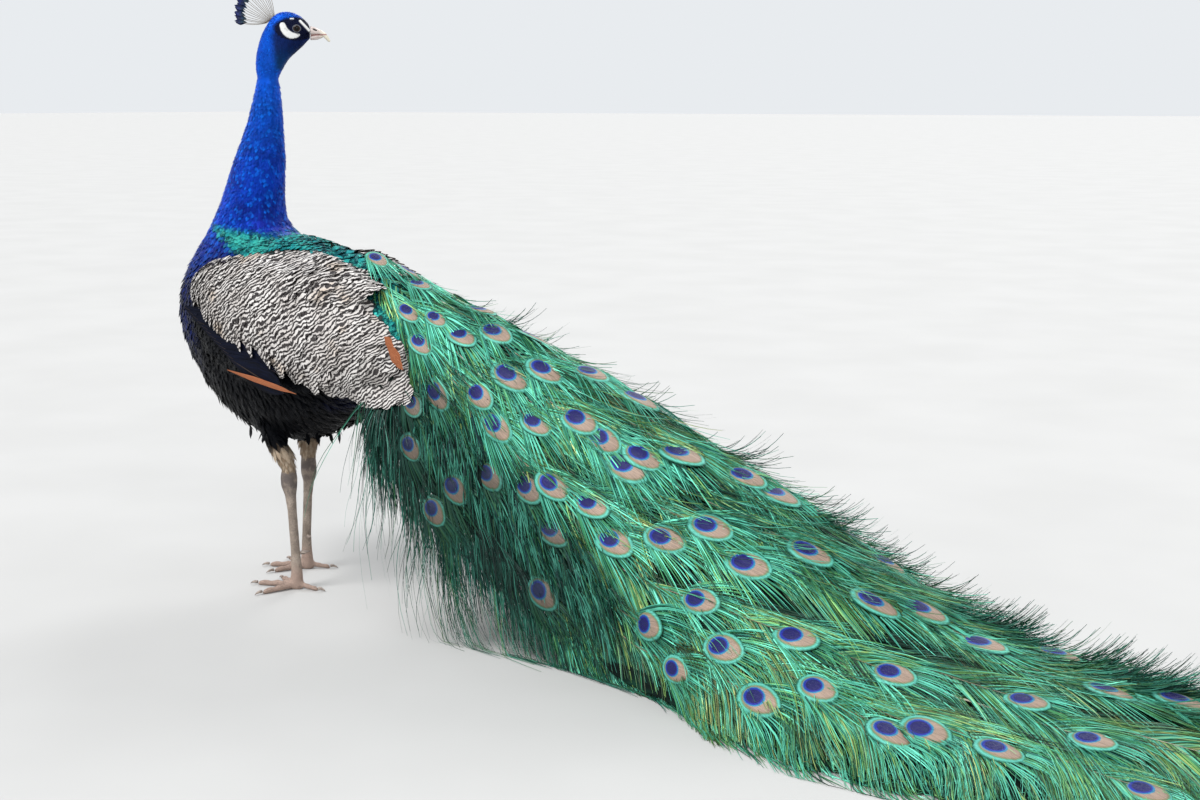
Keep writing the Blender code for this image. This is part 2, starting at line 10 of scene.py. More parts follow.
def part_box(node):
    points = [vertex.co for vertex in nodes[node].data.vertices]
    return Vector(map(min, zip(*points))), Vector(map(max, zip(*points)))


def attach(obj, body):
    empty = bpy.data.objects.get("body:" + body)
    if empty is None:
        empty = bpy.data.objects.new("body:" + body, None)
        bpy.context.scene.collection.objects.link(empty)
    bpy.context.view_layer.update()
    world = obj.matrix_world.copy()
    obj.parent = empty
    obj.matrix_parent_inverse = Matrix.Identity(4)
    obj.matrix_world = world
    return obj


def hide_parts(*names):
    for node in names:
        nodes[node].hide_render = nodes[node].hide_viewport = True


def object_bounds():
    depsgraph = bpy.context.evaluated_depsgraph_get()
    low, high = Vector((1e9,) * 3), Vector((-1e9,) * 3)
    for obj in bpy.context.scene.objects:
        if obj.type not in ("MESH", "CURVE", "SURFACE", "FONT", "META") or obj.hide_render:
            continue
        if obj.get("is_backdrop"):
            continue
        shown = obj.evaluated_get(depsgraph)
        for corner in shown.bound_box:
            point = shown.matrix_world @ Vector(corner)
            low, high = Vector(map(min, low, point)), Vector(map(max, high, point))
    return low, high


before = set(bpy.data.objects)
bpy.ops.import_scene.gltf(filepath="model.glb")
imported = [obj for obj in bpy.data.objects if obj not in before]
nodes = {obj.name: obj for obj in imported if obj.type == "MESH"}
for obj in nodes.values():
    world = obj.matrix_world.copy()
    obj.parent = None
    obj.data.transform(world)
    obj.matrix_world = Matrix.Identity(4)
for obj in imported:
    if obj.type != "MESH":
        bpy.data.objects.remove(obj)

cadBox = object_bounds()
rng = np.random.default_rng(11)

# Places are written in the bird's own frame: the breast faces -X, the left side is -Y, heights
# are above the floor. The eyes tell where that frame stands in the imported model.
bird = dict(headPlace=(-0.066, 0.004, 0), eyeForward=0.0396)


def middleOf(name):
    low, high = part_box(name)
    return (low + high) / 2


eyeLeft, eyeRight = middleOf("eye_left"), middleOf("eye_right")
headSide = (eyeLeft - eyeRight).normalized()
headForward = Vector((headSide.y, -headSide.x, 0))
headOrigin = (eyeLeft + eyeRight) / 2 - headForward * bird["eyeForward"]
headOrigin.z = 0
shift = headOrigin - Vector(bird["headPlace"])
shiftRow = np.array(shift)


def headLocal(points):
    # forward from the back of the skull, sideways to the left, height
    off = points + shiftRow - np.array(headOrigin)
    return np.stack([off @ np.array(headForward), off @ np.array(headSide), off[:, 2]], 1)


def fromHead(u, w, h):
    return np.array(headOrigin + headForward * u + headSide * w + Vector((0, 0, h)) - shift)


def smoothStep(low, high, value):
    t = np.clip((value - low) / (high - low), 0, 1)
    return t * t * (3 - 2 * t)


def unit(vectors):
    return vectors / np.maximum(np.linalg.norm(vectors, axis=-1, keepdims=True), 1e-9)


# Shader building: a wired socket that can be added and multiplied, and one way to add nodes.
class Wire:
    def __init__(self, paint, socket):
        self.paint, self.socket = paint, socket

    def maths(self, operation, first, second=0.0):
        return self.paint.node("ShaderNodeMath", {"operation": operation}, {0: first, 1: second})

    def __add__(self, other):
        return self.maths("ADD", self, other)

    def __sub__(self, other):
        return self.maths("SUBTRACT", self, other)

    def __rsub__(self, other):
        return self.maths("SUBTRACT", other, self)

    def __mul__(self, other):
        return self.maths("MULTIPLY", self, other)

    def __truediv__(self, other):
        return self.maths("DIVIDE", self, other)

    def __pow__(self, other):
        return self.maths("POWER", self, other)

    __radd__ = __add__
    __rmul__ = __mul__


class Paint:
    def __init__(self, name, roughness=0.5, metallic=0.0, **fixed):
        self.material = bpy.data.materials.new(name)
        self.material.use_nodes = True
        self.tree = self.material.node_tree
        self.shader = self.tree.nodes["Principled BSDF"]
        self.shader.inputs["Roughness"].default_value = roughness
        self.shader.inputs["Metallic"].default_value = metallic
        for socket, value in fixed.items():
            self.shader.inputs[socket.replace("_", " ")].default_value = value
        self.place = self.node("ShaderNodeMapping", {}, {
            "Vector": self.node("ShaderNodeTexCoord", out="Object"), "Location": tuple(-shift)})

    def node(self, kind, settings=None, inputs=None, out=0):
        made = self.tree.nodes.new(kind)
        for key, value in (settings or {}).items():
            if key == "stops":
                while len(made.color_ramp.elements) < len(value):
                    made.color_ramp.elements.new(0.5)
                for element, (position, colour) in zip(made.color_ramp.elements, value):
                    element.position = position
                    element.color = (*colour, 1) if len(colour) == 3 else colour
            else:
                setattr(made, key, value)
        for key, value in (inputs or {}).items():
            self.feed(made.inputs[key], value)
        return Wire(self, made.outputs[out])

    def feed(self, socket, value):
        if isinstance(value, Wire):
            self.tree.links.new(value.socket, socket)
        else:
            if isinstance(value, tuple) and len(value) == 3 and len(socket.default_value) == 4:
                value = (*value, 1)
            socket.default_value = value

    def reads(self, attribute, out="Fac"):
        return self.node("ShaderNodeAttribute", {"attribute_name": attribute}, out=out)

    def noise(self, scale, detail=2.0, vector=None, rough=0.5):
        return self.node("ShaderNodeTexNoise", {}, {
            "Vector": vector or self.place, "Scale": scale, "Detail": detail, "Roughness": rough})

    def stretched(self, scale, turn=(0, 0, 0), vector=None):
        return self.node("ShaderNodeMapping", {}, {
            "Vector": vector or self.place, "Scale": scale, "Rotation": turn})

    def mix(self, share, first, second, blend="MIX"):
        made = self.node("ShaderNodeMix", {"data_type": "RGBA", "blend_type": blend, "clamp_factor": True},
                         {0: share, 6: first, 7: second}, out=2)
        return made

    def ramp(self, value, stops, interpolation="LINEAR"):
        made = self.node("ShaderNodeValToRGB", {"stops": stops}, {"Fac": value})
        made.socket.node.color_ramp.interpolation = interpolation
        return made

    def between(self, value, low, high, start=0.0, end=1.0):
        return self.node("ShaderNodeMapRange", {"interpolation_type": "SMOOTHSTEP"},
                         {"Value": value, "From Min": low, "From Max": high, "To Min": start, "To Max": end})

    def split(self, vector, axis):
        return self.node("ShaderNodeSeparateXYZ", {}, {0: vector}, out=axis)

    def relief(self, height, distance=0.001, strength=0.5):
        bump = self.node("ShaderNodeBump", {}, {"Height": height, "Distance": distance, "Strength": strength})
        self.feed(self.shader.inputs["Normal"], bump)

    def set(self, **links):
        for socket, value in links.items():
            self.feed(self.shader.inputs[socket.replace("_", " ")], value)
        return self.material


def asObject(name, mesh, material, slot, *replaced):
    made = bpy.data.objects.new(name, mesh)
    bpy.context.scene.collection.objects.link(made)
    mesh.materials.clear()
    mesh.materials.append(material)
    mesh.shade_smooth()
    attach(made, "root")
    if replaced:
        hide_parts(*replaced)
    return made


# Many like things joined into one mesh: n copies of a template, with values for the shader.
coatCount = dict(triangles=0)
roomOut = 0.012     # how far a loose barb may stand outside the solids' box


def joinedMesh(name, points, faces, values, vane, atlas):
    n, m = points.shape[:2]
    corners = (faces[None] + (np.arange(n) * m)[:, None, None]).reshape(-1)
    mesh = bpy.data.meshes.new(name)
    mesh.vertices.add(n * m)
    placed = np.clip(points + shiftRow, np.array(cadBox[0]) - roomOut, np.array(cadBox[1]) + roomOut)
    placed[..., 2] = np.maximum(placed[..., 2], 0.0008)
    mesh.vertices.foreach_set("co", placed.astype(np.float32).ravel())
    mesh.loops.add(len(corners))
    mesh.loops.foreach_set("vertex_index", corners.astype(np.int32))
    mesh.polygons.add(n * len(faces))
    mesh.polygons.foreach_set("loop_start", np.arange(n * len(faces), dtype=np.int32) * 4)
    mesh.update(calc_edges=True)
    for label, perPoint in (("vane", vane), ("OFBake", atlas)):
        layer = mesh.uv_layers.new(name=label)
        layer.uv.foreach_set("vector", perPoint.reshape(-1, 2)[corners].astype(np.float32).ravel())
    for label, value in values.items():
        spread = np.broadcast_to(value.reshape(n, -1), (n, m)) if value.ndim == 1 else value
        held = mesh.attributes.new(label, "FLOAT", "POINT")
        held.data.foreach_set("value", np.ascontiguousarray(spread, np.float32).ravel())
    coatCount["triangles"] += 2 * n * len(faces)
    return mesh


def coatPieces(name, points, faces, values, vane, atlas, material, slot, *replaced):
    # a piece stays under 190000 triangles, so a large coat is several pieces
    most = int(190000 / (2 * len(faces)))
    count = max(1, math.ceil(len(points) / most))
    for k in range(count):
        part = slice(len(points) * k // count, len(points) * (k + 1) // count)
        label = name if count == 1 else "%s_%d" % (name, k + 1)
        mesh = joinedMesh(label, points[part], faces, {key: v[part] for key, v in values.items()},
                          vane[part], atlas[part])
        asObject(label, mesh, material, slot, *(replaced if k == 0 else ()))


def gridTemplate(across, along):
    # flat patch: across -1..1, along 0..1
    bm = bmesh.new()
    bmesh.ops.create_grid(bm, x_segments=across, y_segments=along, size=0.5)
    points = np.array([(v.co.x * 2, v.co.y + 0.5) for v in bm.verts])
    faces = np.array([[v.index for v in f.verts] for f in bm.faces])
    bm.free()
    return points, faces


# The surfaces that feathers lie on
def surfaceOf(*names):
    bm = bmesh.new()
    for name in names:
        bm.from_mesh(nodes[name].data)
    bmesh.ops.translate(bm, verts=bm.verts, vec=-shift)
    bmesh.ops.triangulate(bm, faces=bm.faces)
    tree = BVHTree.FromBMesh(bm)
    bm.free()
    return tree


trainNodes = [n for n in nodes if n.startswith("train_")]
wingNodes = [n for n in nodes if n.startswith(("wing_", "flight_"))]
fleshNodes = [n for n in nodes if n.startswith(("head", "neck", "trunk", "thigh", "shank", "foot"))]

# A folded wing's outline: level along the back, then drooping to its tip, with a shallow lower
# edge and rounded ends.
folded = dict(front=-0.185, back=0.250, top=0.540, droop=2.0, low=0.366, slope=-0.35, hollow=0.95,
              rounding=0.040)


def underFold(x, z, grown=0.0):
    # true inside the folded wing's outline
    spec = folded
    top = spec["top"] - spec["droop"] * np.maximum(x, 0) ** 2 + grown
    low = spec["low"] + spec["slope"] * x + spec["hollow"] * x * x - grown
    back = spec["back"] - np.maximum(z - 0.395, 0)
    toEnd = np.minimum(x - spec["front"], back - x) + grown
    pinch = 1 - np.sqrt(1 - (1 - np.clip(toEnd / spec["rounding"], 0, 1)) ** 2)
    middle, half = (top + low) / 2, (top - low) / 2 * (1 - 0.6 * pinch)
    return (toEnd > 0) & (np.abs(z - middle) < half)


def wingTop(x):
    # how far from the middle of the back a folded wing stops: far at the shoulders, near behind
    return 0.082 - 0.062 * smoothStep(-0.09, 0.08, x)


# Train: seen from a line that runs along it at the height of its lower edge, every direction
# from straight up round to level on both sides meets the surface once.
train = dict(start=0.05, end=1.625, root=-0.05,
             axisAt=[(0.05, 0.50), (0.11, 0.43), (0.165, 0.32), (0.23, 0.244), (0.30, 0.184), (0.38, 0.126),
                     (0.48, 0.072), (0.58, 0.03), (0.68, 0.002), (1.7, 0.002)])
trainShape = surfaceOf(*trainNodes)
stations = np.linspace(train["start"], train["end"], 200)
turns = np.radians(np.linspace(-90, 90, 92))
reach = np.full((len(stations), len(turns)), np.nan)
for i, x in enumerate(stations):
    level = np.interp(x, *zip(*train["axisAt"]))
    for j, turn in enumerate(turns):
        run = Vector((0, math.sin(turn), math.cos(turn)))
        hit = trainShape.ray_cast(Vector((x, 0, level)) + run * 0.8, -run, 0.8)
        if hit[0] is not None:
            reach[i, j] = 0.8 - hit[3]
for i in range(len(stations)):
    good = ~np.isnan(reach[i])
    reach[i] = np.interp(turns, turns[good], reach[i][good]) if good.any() else 0.004
# The upper feathers end in a shelf over the hanging side, and everything dives under the wings.
train["shelf"] = dict(start=0.20, end=0.80, first=math.radians(24), last=math.radians(90), power=3.3)


def shelfTurn(x):
    spec = train["shelf"]
    share = np.clip((x - spec["start"]) / (spec["end"] - spec["start"]), 0, 1)
    return spec["first"] + (spec["last"] - spec["first"]) * share ** spec["power"]


gridX, gridTurn = np.meshgrid(stations, turns, indexing="ij")
gridZ = np.interp(gridX, *zip(*train["axisAt"])) + reach * np.cos(gridTurn)
sideways = smoothStep(-0.06, 0.10, np.abs(gridTurn) - shelfTurn(gridX)) * (1 - smoothStep(0.75, 0.85, gridX))
reach += 0.003 - 0.013 * sideways
reach -= 0.030 * (underFold(gridX, gridZ) & (np.abs(reach * np.sin(gridTurn)) > 0.02))
reachSmooth = reach.copy()
for _ in range(2):
    padded = np.pad(reachSmooth, 1, mode="edge")
    reachSmooth = (padded[1:-1, 1:-1] * 2 + padded[:-2, 1:-1] + padded[2:, 1:-1] + padded[1:-1, :-2] +
                   padded[1:-1, 2:]) / 6


def reachAt(x, turn):
    fx = np.clip((x - stations[0]) / (stations[1] - stations[0]), 0, len(stations) - 1.001)
    fy = np.clip((turn - turns[0]) / (turns[1] - turns[0]), 0, len(turns) - 1.001)
    i, j = fx.astype(int), fy.astype(int)
    a, b = fx - i, fy - j
    r = reachSmooth
    return (r[i, j] * (1 - a) * (1 - b) + r[i + 1, j] * a * (1 - b) + r[i, j + 1] * (1 - a) * b +
            r[i + 1, j + 1] * a * b)


def onTrain(x, turn, lift=0.0):
    x, turn = np.broadcast_arrays(x, turn)
    level = np.interp(x, *zip(*train["axisAt"]))
    r = reachAt(x, turn) + lift
    return np.stack([x, r * np.sin(turn), level + r * np.cos(turn)], -1)


def trainFrame(x, turn, tipX, tipTurn):
    # along the feather, across it and out of the surface, for a feather that fans out of the rump
    step = 0.012
    bend = featherTurn(x + step, tipX, tipTurn) - featherTurn(x - step, tipX, tipTurn)
    along = unit(onTrain(x + step, turn + bend / 2) - onTrain(x - step, turn - bend / 2))
    over = onTrain(x, turn + 0.06) - onTrain(x, turn - 0.06)
    out = unit(np.cross(along, over))
    return along, np.cross(out, along), out


def featherTurn(x, tipX, tipTurn):
    share = np.clip((x - train["root"]) / (tipX - train["root"]), 0.02, 1.3)
    return tipTurn * share ** 0.75


print("surfaces read")


# Markings, the same rule for skin and coat
eyeAt = dict(forward=bird["eyeForward"], height=0.857)


def crescentRoundEye(first=168, last=288, far=0.0212, near=0.0100, thick=0.0052, thin=0.0016, count=9):
    # bare skin behind and under the eye: an arc that draws nearer and thins as it goes round
    share = np.linspace(0, 1, count)
    angle = np.radians(first + (last - first) * share)
    away = near + (far - near) * (1 - share) ** 1.7
    half = thin + (thick - thin) * np.sin(np.pi * np.clip(0.28 + 0.72 * share, 0, 1))
    return list(zip(eyeAt["forward"] + away * np.cos(angle), eyeAt["height"] + away * np.sin(angle), half))


marking = dict(
    bareCrescent=crescentRoundEye(),
    bareStripe=[(0.0455, 0.8685, 0.0017), (0.0585, 0.8545, 0.0018)],
    bareMark=[(0.0312, 0.8716, 0.0010), (0.0352, 0.8716, 0.0009)],
    face=((0.0385, 0.8560), (0.0335, 0.0185)), chin=((0.0400, 0.8290), (0.0210, 0.0230)))


def stripeMask(local, line, soft=0.0007):
    best = np.full(len(local), 1.0)
    for (u0, h0, r0), (u1, h1, r1) in zip(line, line[1:]):
        du, dh = u1 - u0, h1 - h0
        t = np.clip(((local[:, 0] - u0) * du + (local[:, 2] - h0) * dh) / (du * du + dh * dh), 0, 1)
        away = np.hypot(local[:, 0] - u0 - t * du, local[:, 2] - h0 - t * dh) - (r0 + (r1 - r0) * t)
        best = np.minimum(best, away)
    return 1 - smoothStep(-soft, soft, best)


def ovalMask(local, oval, soft=0.12):
    (u, h), (ru, rh) = oval
    away = np.hypot((local[:, 0] - u) / ru, (local[:, 2] - h) / rh)
    return 1 - smoothStep(1 - soft, 1 + soft, away)


def marksAt(points):
    x, y, z = points.T
    local = headLocal(points)
    onHead = smoothStep(0.790, 0.800, z)
    bare = sum(stripeMask(local, marking[k]) for k in ("bareCrescent", "bareStripe", "bareMark"))
    # painted shade: the front of the neck under the head is darkened along with the face and chin ovals
    throatLine = 0.004 + 0.10 * (0.83 - local[:, 2])
    throatShade = smoothStep(-0.007, 0.006, local[:, 0] - throatLine) * (1 - smoothStep(0.846, 0.858, local[:, 2]))
    face = np.maximum(ovalMask(local, marking["face"]), 0.9 * ovalMask(local, marking["chin"], 0.35))
    face = np.maximum(face, 0.85 * throatShade)
    mantle = smoothStep(-0.005, 0.005, z - 0.485 + 0.45 * x)
    mantle = mantle * (1 - smoothStep(0.549, 0.561, z + 0.1 * (x + 0.1)))
    breast = (1 - smoothStep(0.455, 0.570, z - 0.10 * (x + 0.2))) * (1 - mantle)
    belly = 1 - smoothStep(0.300, 0.380, z + 0.15 * x)
    flank = smoothStep(0.055, 0.085, np.abs(y)) * smoothStep(-0.190, -0.140, x)
    flank = flank * (1 - smoothStep(0.42, 0.47, z))
    belly = np.maximum(belly, flank)
    thigh = 1 - smoothStep(0.216, 0.228, z)
    leg = 1 - smoothStep(0.183, 0.189, z)
    wing = (underFold(x, z) & (np.abs(y) > wingTop(x))).astype(float)
    belly *= 1 - mantle
    return dict(bare=np.clip(bare, 0, 1) * onHead, face=face * onHead, mantle=mantle, breast=breast,
                belly=belly, thigh=thigh, leg=leg, wing=wing)


markNames = ("bare", "face", "mantle", "breast", "belly", "thigh", "leg", "wing")
inkOf = dict(
    neckDeep=(0.001, 0.016, 0.220), neckBlue=(0.001, 0.040, 0.430), neckBright=(0.003, 0.170, 0.850),
    neckViolet=(0.012, 0.012, 0.300), tealDeep=(0.004, 0.060, 0.075), teal=(0.010, 0.260, 0.270),
    tealBright=(0.050, 0.480, 0.400), navy=(0.002, 0.004, 0.022), navyBlue=(0.003, 0.010, 0.090),
    black=(0.0010, 0.0015, 0.0030), buff=(0.300, 0.215, 0.145), buffPale=(0.430, 0.340, 0.250),
    bareSkin=(0.800, 0.800, 0.780), scaleGrey=(0.240, 0.195, 0.160), scalePale=(0.380, 0.315, 0.260),
    scaleDark=(0.120, 0.100, 0.095), toePink=(0.380, 0.275, 0.225))


def plumage(name, coat):
    # one paint for the skin and the small feathers over it, told apart by their own markings
    paint = Paint(name, 0.42, 0.0, Specular_IOR_Level=0.12)
    ink = inkOf
    luck = paint.reads("luck") if coat else paint.noise(160.0, 3.0)
    cloud = paint.noise(26.0, 3.0)
    fine = paint.noise(240.0, 2.0)
    height = paint.split(paint.place, 2)
    blue = paint.mix(paint.between(cloud, 0.36, 0.64), ink["neckBlue"], ink["neckDeep"])
    blue = paint.mix(paint.between(luck * 0.5 + fine * 0.5, 0.50, 0.85, 0.0, 0.8), blue, ink["neckBright"])
    blue = paint.mix(paint.between(paint.noise(14.0, 1.0), 0.55, 0.75, 0.0, 0.6), blue, ink["neckViolet"])
    blue = paint.mix(paint.between(height, 0.62, 0.76, 0.0, 0.28), blue, ink["neckBright"])
    teal = paint.mix(paint.between(luck, 0.2, 0.8), ink["tealDeep"], ink["teal"])
    teal = paint.mix(paint.between(fine + cloud, 0.95, 1.25), teal, ink["tealBright"])
    navy = paint.mix(paint.between(cloud + luck * 0.4, 0.5, 0.9), ink["navy"], ink["navyBlue"])
    buff = paint.mix(paint.between(luck * 0.5 + fine * 0.5, 0.35, 0.65), ink["buff"], ink["buffPale"])
    colour = paint.mix(paint.reads("breast"), blue, navy)
    colour = paint.mix(paint.reads("mantle"), colour, teal)
    colour = paint.mix(paint.reads("belly"), colour, ink["black"])
    # painted shade: face, chin and throat take a dark colour, teal low down and navy higher up
    shaded = paint.mix(paint.between(height, 0.795, 0.835), (0.002, 0.030, 0.070), ink["navy"])
    colour = paint.mix(paint.reads("face"), colour, shaded)
    colour = paint.mix(paint.reads("bare"), colour, ink["bareSkin"])
    colour = paint.mix(paint.reads("thigh"), colour, buff)
    # painted shade: the skin under the folded wing is dark brown-grey, so the gaps between coverts show dark
    colour = paint.mix(paint.reads("wing") * 0.9, colour, (0.040, 0.032, 0.030))
    glossy = (1 - paint.reads("thigh")) * (1 - paint.reads("bare")) * (1 - paint.reads("leg"))
    if coat:
        along = paint.split(paint.node("ShaderNodeUVMap", {"uv_map": "vane"}), 1)
        across = paint.split(paint.node("ShaderNodeUVMap", {"uv_map": "vane"}), 0)
        rim = paint.between(along, 0.82, 0.98)
        colour = paint.mix(rim * paint.reads("mantle") * 0.75, colour, ink["tealDeep"])
        # painted shade: each small feather darkens toward its root, where it goes under its neighbours
        colour = paint.mix(paint.between(along, 0.0, 0.45, 0.55, 0.0), colour, ink["black"])
        barbs = paint.node("ShaderNodeTexWave", {"bands_direction": "X"}, {
            "Vector": paint.node("ShaderNodeCombineXYZ", {}, {0: across + along * 0.5, 1: along}),
            "Scale": 6.0, "Distortion": 1.0})
        paint.relief(barbs, 0.0006, 0.5)
    else:
        scales = paint.node("ShaderNodeTexVoronoi", {"feature": "DISTANCE_TO_EDGE"}, {
            "Vector": paint.stretched((1.0, 1.0, 1.5)), "Scale": 270.0})
        crack = paint.between(scales, 0.0, 0.09)
        shank = paint.mix(paint.between(paint.noise(60.0, 4.0), 0.35, 0.65), ink["scaleGrey"],
                          ink["scalePale"])
        shank = paint.mix(paint.between(height, 0.02, 0.05), ink["toePink"], shank)
        hock = paint.between(height, 0.135, 0.165)
        hock = hock * paint.between(paint.noise(90.0, 3.0), 0.35, 0.6, 0.2, 0.9)
        shank = paint.mix(hock, shank, ink["scaleDark"])
        shank = paint.mix((1 - crack) * 0.6, shank, ink["scaleDark"])
        colour = paint.mix(paint.reads("leg"), colour, shank)
        wrinkle = paint.noise(700.0, 3.0, paint.stretched((1.0, 1.0, 2.2)))
        paint.relief(crack * paint.reads("leg") + wrinkle * 0.4, 0.0007, 0.55)
    paint.set(Base_Color=colour, Metallic=glossy * 0.45,
              Roughness=paint.between(luck + cloud, 0.6, 1.4, 0.34, 0.52) + (1 - glossy) * 0.25)
    return paint.material


# Skin: the flesh as one closed form, drawn in by the depth of the coat
skinSpec = dict(voxel=0.0021, smoothing=8, eyeFill=0.74)


def fleshDepth(points, marks):
    z = points[:, 2]
    depth = 0.0048 - 0.0024 * smoothStep(0.52, 0.62, z) - 0.0016 * smoothStep(0.78, 0.80, z)
    depth = depth * (1 - marks["bare"]) - 0.0002 * marks["bare"]
    depth = np.where(z < 0.246, 0.0022, depth) * (1 - marks["leg"])
    return depth


def makeSkin():
    bm = bmesh.new()
    for name in fleshNodes + wingNodes:
        bm.from_mesh(nodes[name].data)
    for name in ("eye_left", "eye_right"):      # a plug closes each socket behind the eye
        first = len(bm.verts)
        bm.from_mesh(nodes[name].data)
        bm.verts.ensure_lookup_table()
        plug, middle = bm.verts[first:], middleOf(name)
        bmesh.ops.translate(bm, verts=plug, vec=-middle)
        bmesh.ops.scale(bm, verts=plug, vec=(skinSpec["eyeFill"],) * 3)
        bmesh.ops.translate(bm, verts=plug, vec=middle)
    bmesh.ops.remove_doubles(bm, verts=bm.verts, dist=1e-6)
    rough = bpy.data.meshes.new("roughSkin")
    bm.to_mesh(rough)
    bm.free()
    holder = bpy.data.objects.new("roughSkin", rough)
    bpy.context.scene.collection.objects.link(holder)
    remesh = holder.modifiers.new("remesh", "REMESH")
    remesh.mode = "VOXEL"
    remesh.voxel_size = skinSpec["voxel"]
    smooth = holder.modifiers.new("smooth", "SMOOTH")
    smooth.factor = 0.5
    smooth.iterations = skinSpec["smoothing"]
    graph = bpy.context.evaluated_depsgraph_get()
    mesh = bpy.data.meshes.new_from_object(holder.evaluated_get(graph))
    bpy.data.objects.remove(holder)
    bm = bmesh.new()
    bm.from_mesh(mesh)
    headFaces = [f for f in bm.faces if f.calc_center_median().z > 0.800]
    edges = list({e for f in headFaces for e in f.edges})
    bmesh.ops.subdivide_edges(bm, edges=edges, cuts=1, use_grid_fill=True)
    headVerts = [v for v in bm.verts if v.co.z > 0.800]
    bmesh.ops.smooth_vert(bm, verts=headVerts, factor=0.5, use_axis_x=True, use_axis_y=True, use_axis_z=True)
    bmesh.ops.triangulate(bm, faces=[f for f in bm.faces if len(f.verts) > 4])
    bm.normal_update()
    points = np.array([v.co for v in bm.verts]) - shiftRow
    normals = np.array([v.normal for v in bm.verts])
    marks = marksAt(points)
    points = points - normals * fleshDepth(points, marks)[:, None]
    for v, p in zip(bm.verts, points + shiftRow):
        v.co = p
    bm.to_mesh(mesh)
    bm.free()
    for name in markNames:
        held = mesh.attributes.new(name, "FLOAT", "POINT")
        held.data.foreach_set("value", marks[name].astype(np.float32))
    return asObject("skin", mesh, plumage("skinPaint", False), "blue_feathers", *fleshNodes, *wingNodes)


skin = makeSkin()
bm = bmesh.new()
bm.from_mesh(skin.data)
bmesh.ops.translate(bm, verts=bm.verts, vec=-shift)
bmesh.ops.triangulate(bm, faces=bm.faces)
skinTree = BVHTree.FromBMesh(bm)
skinCorners = np.array([[v.co for v in f.verts] for f in bm.faces])
bm.free()
print("skin made:", len(skinCorners), "triangles")

# The lie of the coat follows these lines, back from the bill, down the neck and along the body.
lieLines = [
    [tuple(fromHead(0.060, 0, 0.856)), tuple(fromHead(0.020, 0, 0.862)), tuple(fromHead(-0.012, 0, 0.835)),
     (-0.071, 0.0, 0.784), (-0.082, 0.0, 0.710), (-0.110, 0.0, 0.610), (-0.135, 0.0, 0.540),
     (-0.120, 0.0, 0.470), (-0.060, 0.0, 0.410), (0.040, 0.0, 0.385), (0.180, 0.0, 0.375),
     (0.330, 0.0, 0.390)],
    [(-0.055, -0.056, 0.280), (-0.020, -0.054, 0.225), (-0.007, -0.050, 0.186)],
    [(-0.062, 0.054, 0.280), (-0.055, 0.050, 0.225), (-0.056, 0.047, 0.186)]]


def lieAt(points, normals):
    total = np.zeros_like(points)
    for line in lieLines:
        for start, end in zip(np.array(line), np.array(line[1:])):
            run = end - start
            t = np.clip((points - start) @ run / (run @ run), 0, 1)
            away = np.linalg.norm(points - start - t[:, None] * run, axis=1)
            total += unit(run)[None] / (away[:, None] + 0.004) ** 4
    total = unit(total) + np.array([0, 0, -0.12])
    flat = total - (total * normals).sum(1, keepdims=True) * normals
    return unit(flat)


def scattered(pick, spacing, seedCount):
    # points on the skin no nearer than the spacing that each place asks for
    sides = np.cross(skinCorners[:, 1] - skinCorners[:, 0], skinCorners[:, 2] - skinCorners[:, 0])
    area = np.linalg.norm(sides, axis=1)
    area = area * pick(skinCorners.mean(1))
    chosen = rng.choice(len(area), seedCount, p=area / area.sum())
    a, b = rng.random((2, seedCount))
    flip = a + b > 1
    a[flip], b[flip] = 1 - a[flip], 1 - b[flip]
    tri = skinCorners[chosen]
    points = tri[:, 0] + (tri[:, 1] - tri[:, 0]) * a[:, None] + (tri[:, 2] - tri[:, 0]) * b[:, None]
    room = spacing(points)
    cell = float(room.max())
    grid, kept = {}, []
    keys = np.floor(points / cell).astype(int)
    for i in range(seedCount):
        p, key, r = points[i], keys[i], room[i] ** 2
        near = False
        for dx in (-1, 0, 1):
            for dy in (-1, 0, 1):
                for dz in (-1, 0, 1):
                    for q in grid.get((key[0] + dx, key[1] + dy, key[2] + dz), ()):
                        if (p[0] - q[0]) ** 2 + (p[1] - q[1]) ** 2 + (p[2] - q[2]) ** 2 < r:
                            near = True
                            break
                    if near:
                        break
                if near:
                    break
            if near:
                break
        if not near:
            grid.setdefault(tuple(key), []).append(p)
            kept.append(i)
    points = points[kept]
    normals = np.array([skinTree.find_nearest(Vector(p), 0.02)[1] for p in points])
    return points, normals


def featherOutline(t, full=0.60, tip=0.30):
    base = np.minimum(1, (np.maximum(t, 0.02) / 0.40)) ** 0.7
    end = np.clip((t - full) / (1 - full), 0, 1)
    return base * np.sqrt(1 - (1 - tip ** 2) * end ** 2.2)


def vanes(template, roots, along, out, length, width, rise, camber=0.25, twist=None, outline=featherOutline):
    # feather blades that start in the coat and rise a little over their neighbours
    grid, faces = template
    a, t = grid[:, 0], grid[:, 1]
    side = unit(np.cross(along, out))
    if twist is not None:
        turn = twist[:, None]
        along, side = (along * np.cos(turn) + side * np.sin(turn), side * np.cos(turn) - along * np.sin(turn))
    lengthwise = (t - 0.10 * a * a * t * t)[None, :, None] * length[:, None, None]
    crosswise = (a * outline(t))[None, :, None] * width[:, None, None] / 2
    lift = (rise[:, None] * length[:, None] * (1.35 * t - 0.35 * t * t)[None] -
            camber * width[:, None] * (a * a * outline(t))[None] * 0.5)[..., None]
    points = roots[:, None] + along[:, None] * lengthwise + side[:, None] * crosswise + out[:, None] * lift
    vane = np.broadcast_to(np.stack([a * 0.5 + 0.5, t], 1), (len(roots), len(a), 2))
    return points, faces, vane


def atlasPatches(template, u, v, size=0.003):
    # each feather's own small patch, at its root's place on the unrolled skin
    grid = template[0]
    centre = np.stack([np.clip(u, 0.01, 0.99), np.clip(v, 0.01, 0.99)], 1)
    return centre[:, None] + (np.stack([grid[:, 0] / 2, grid[:, 1] - 0.5], 1) * size)[None]


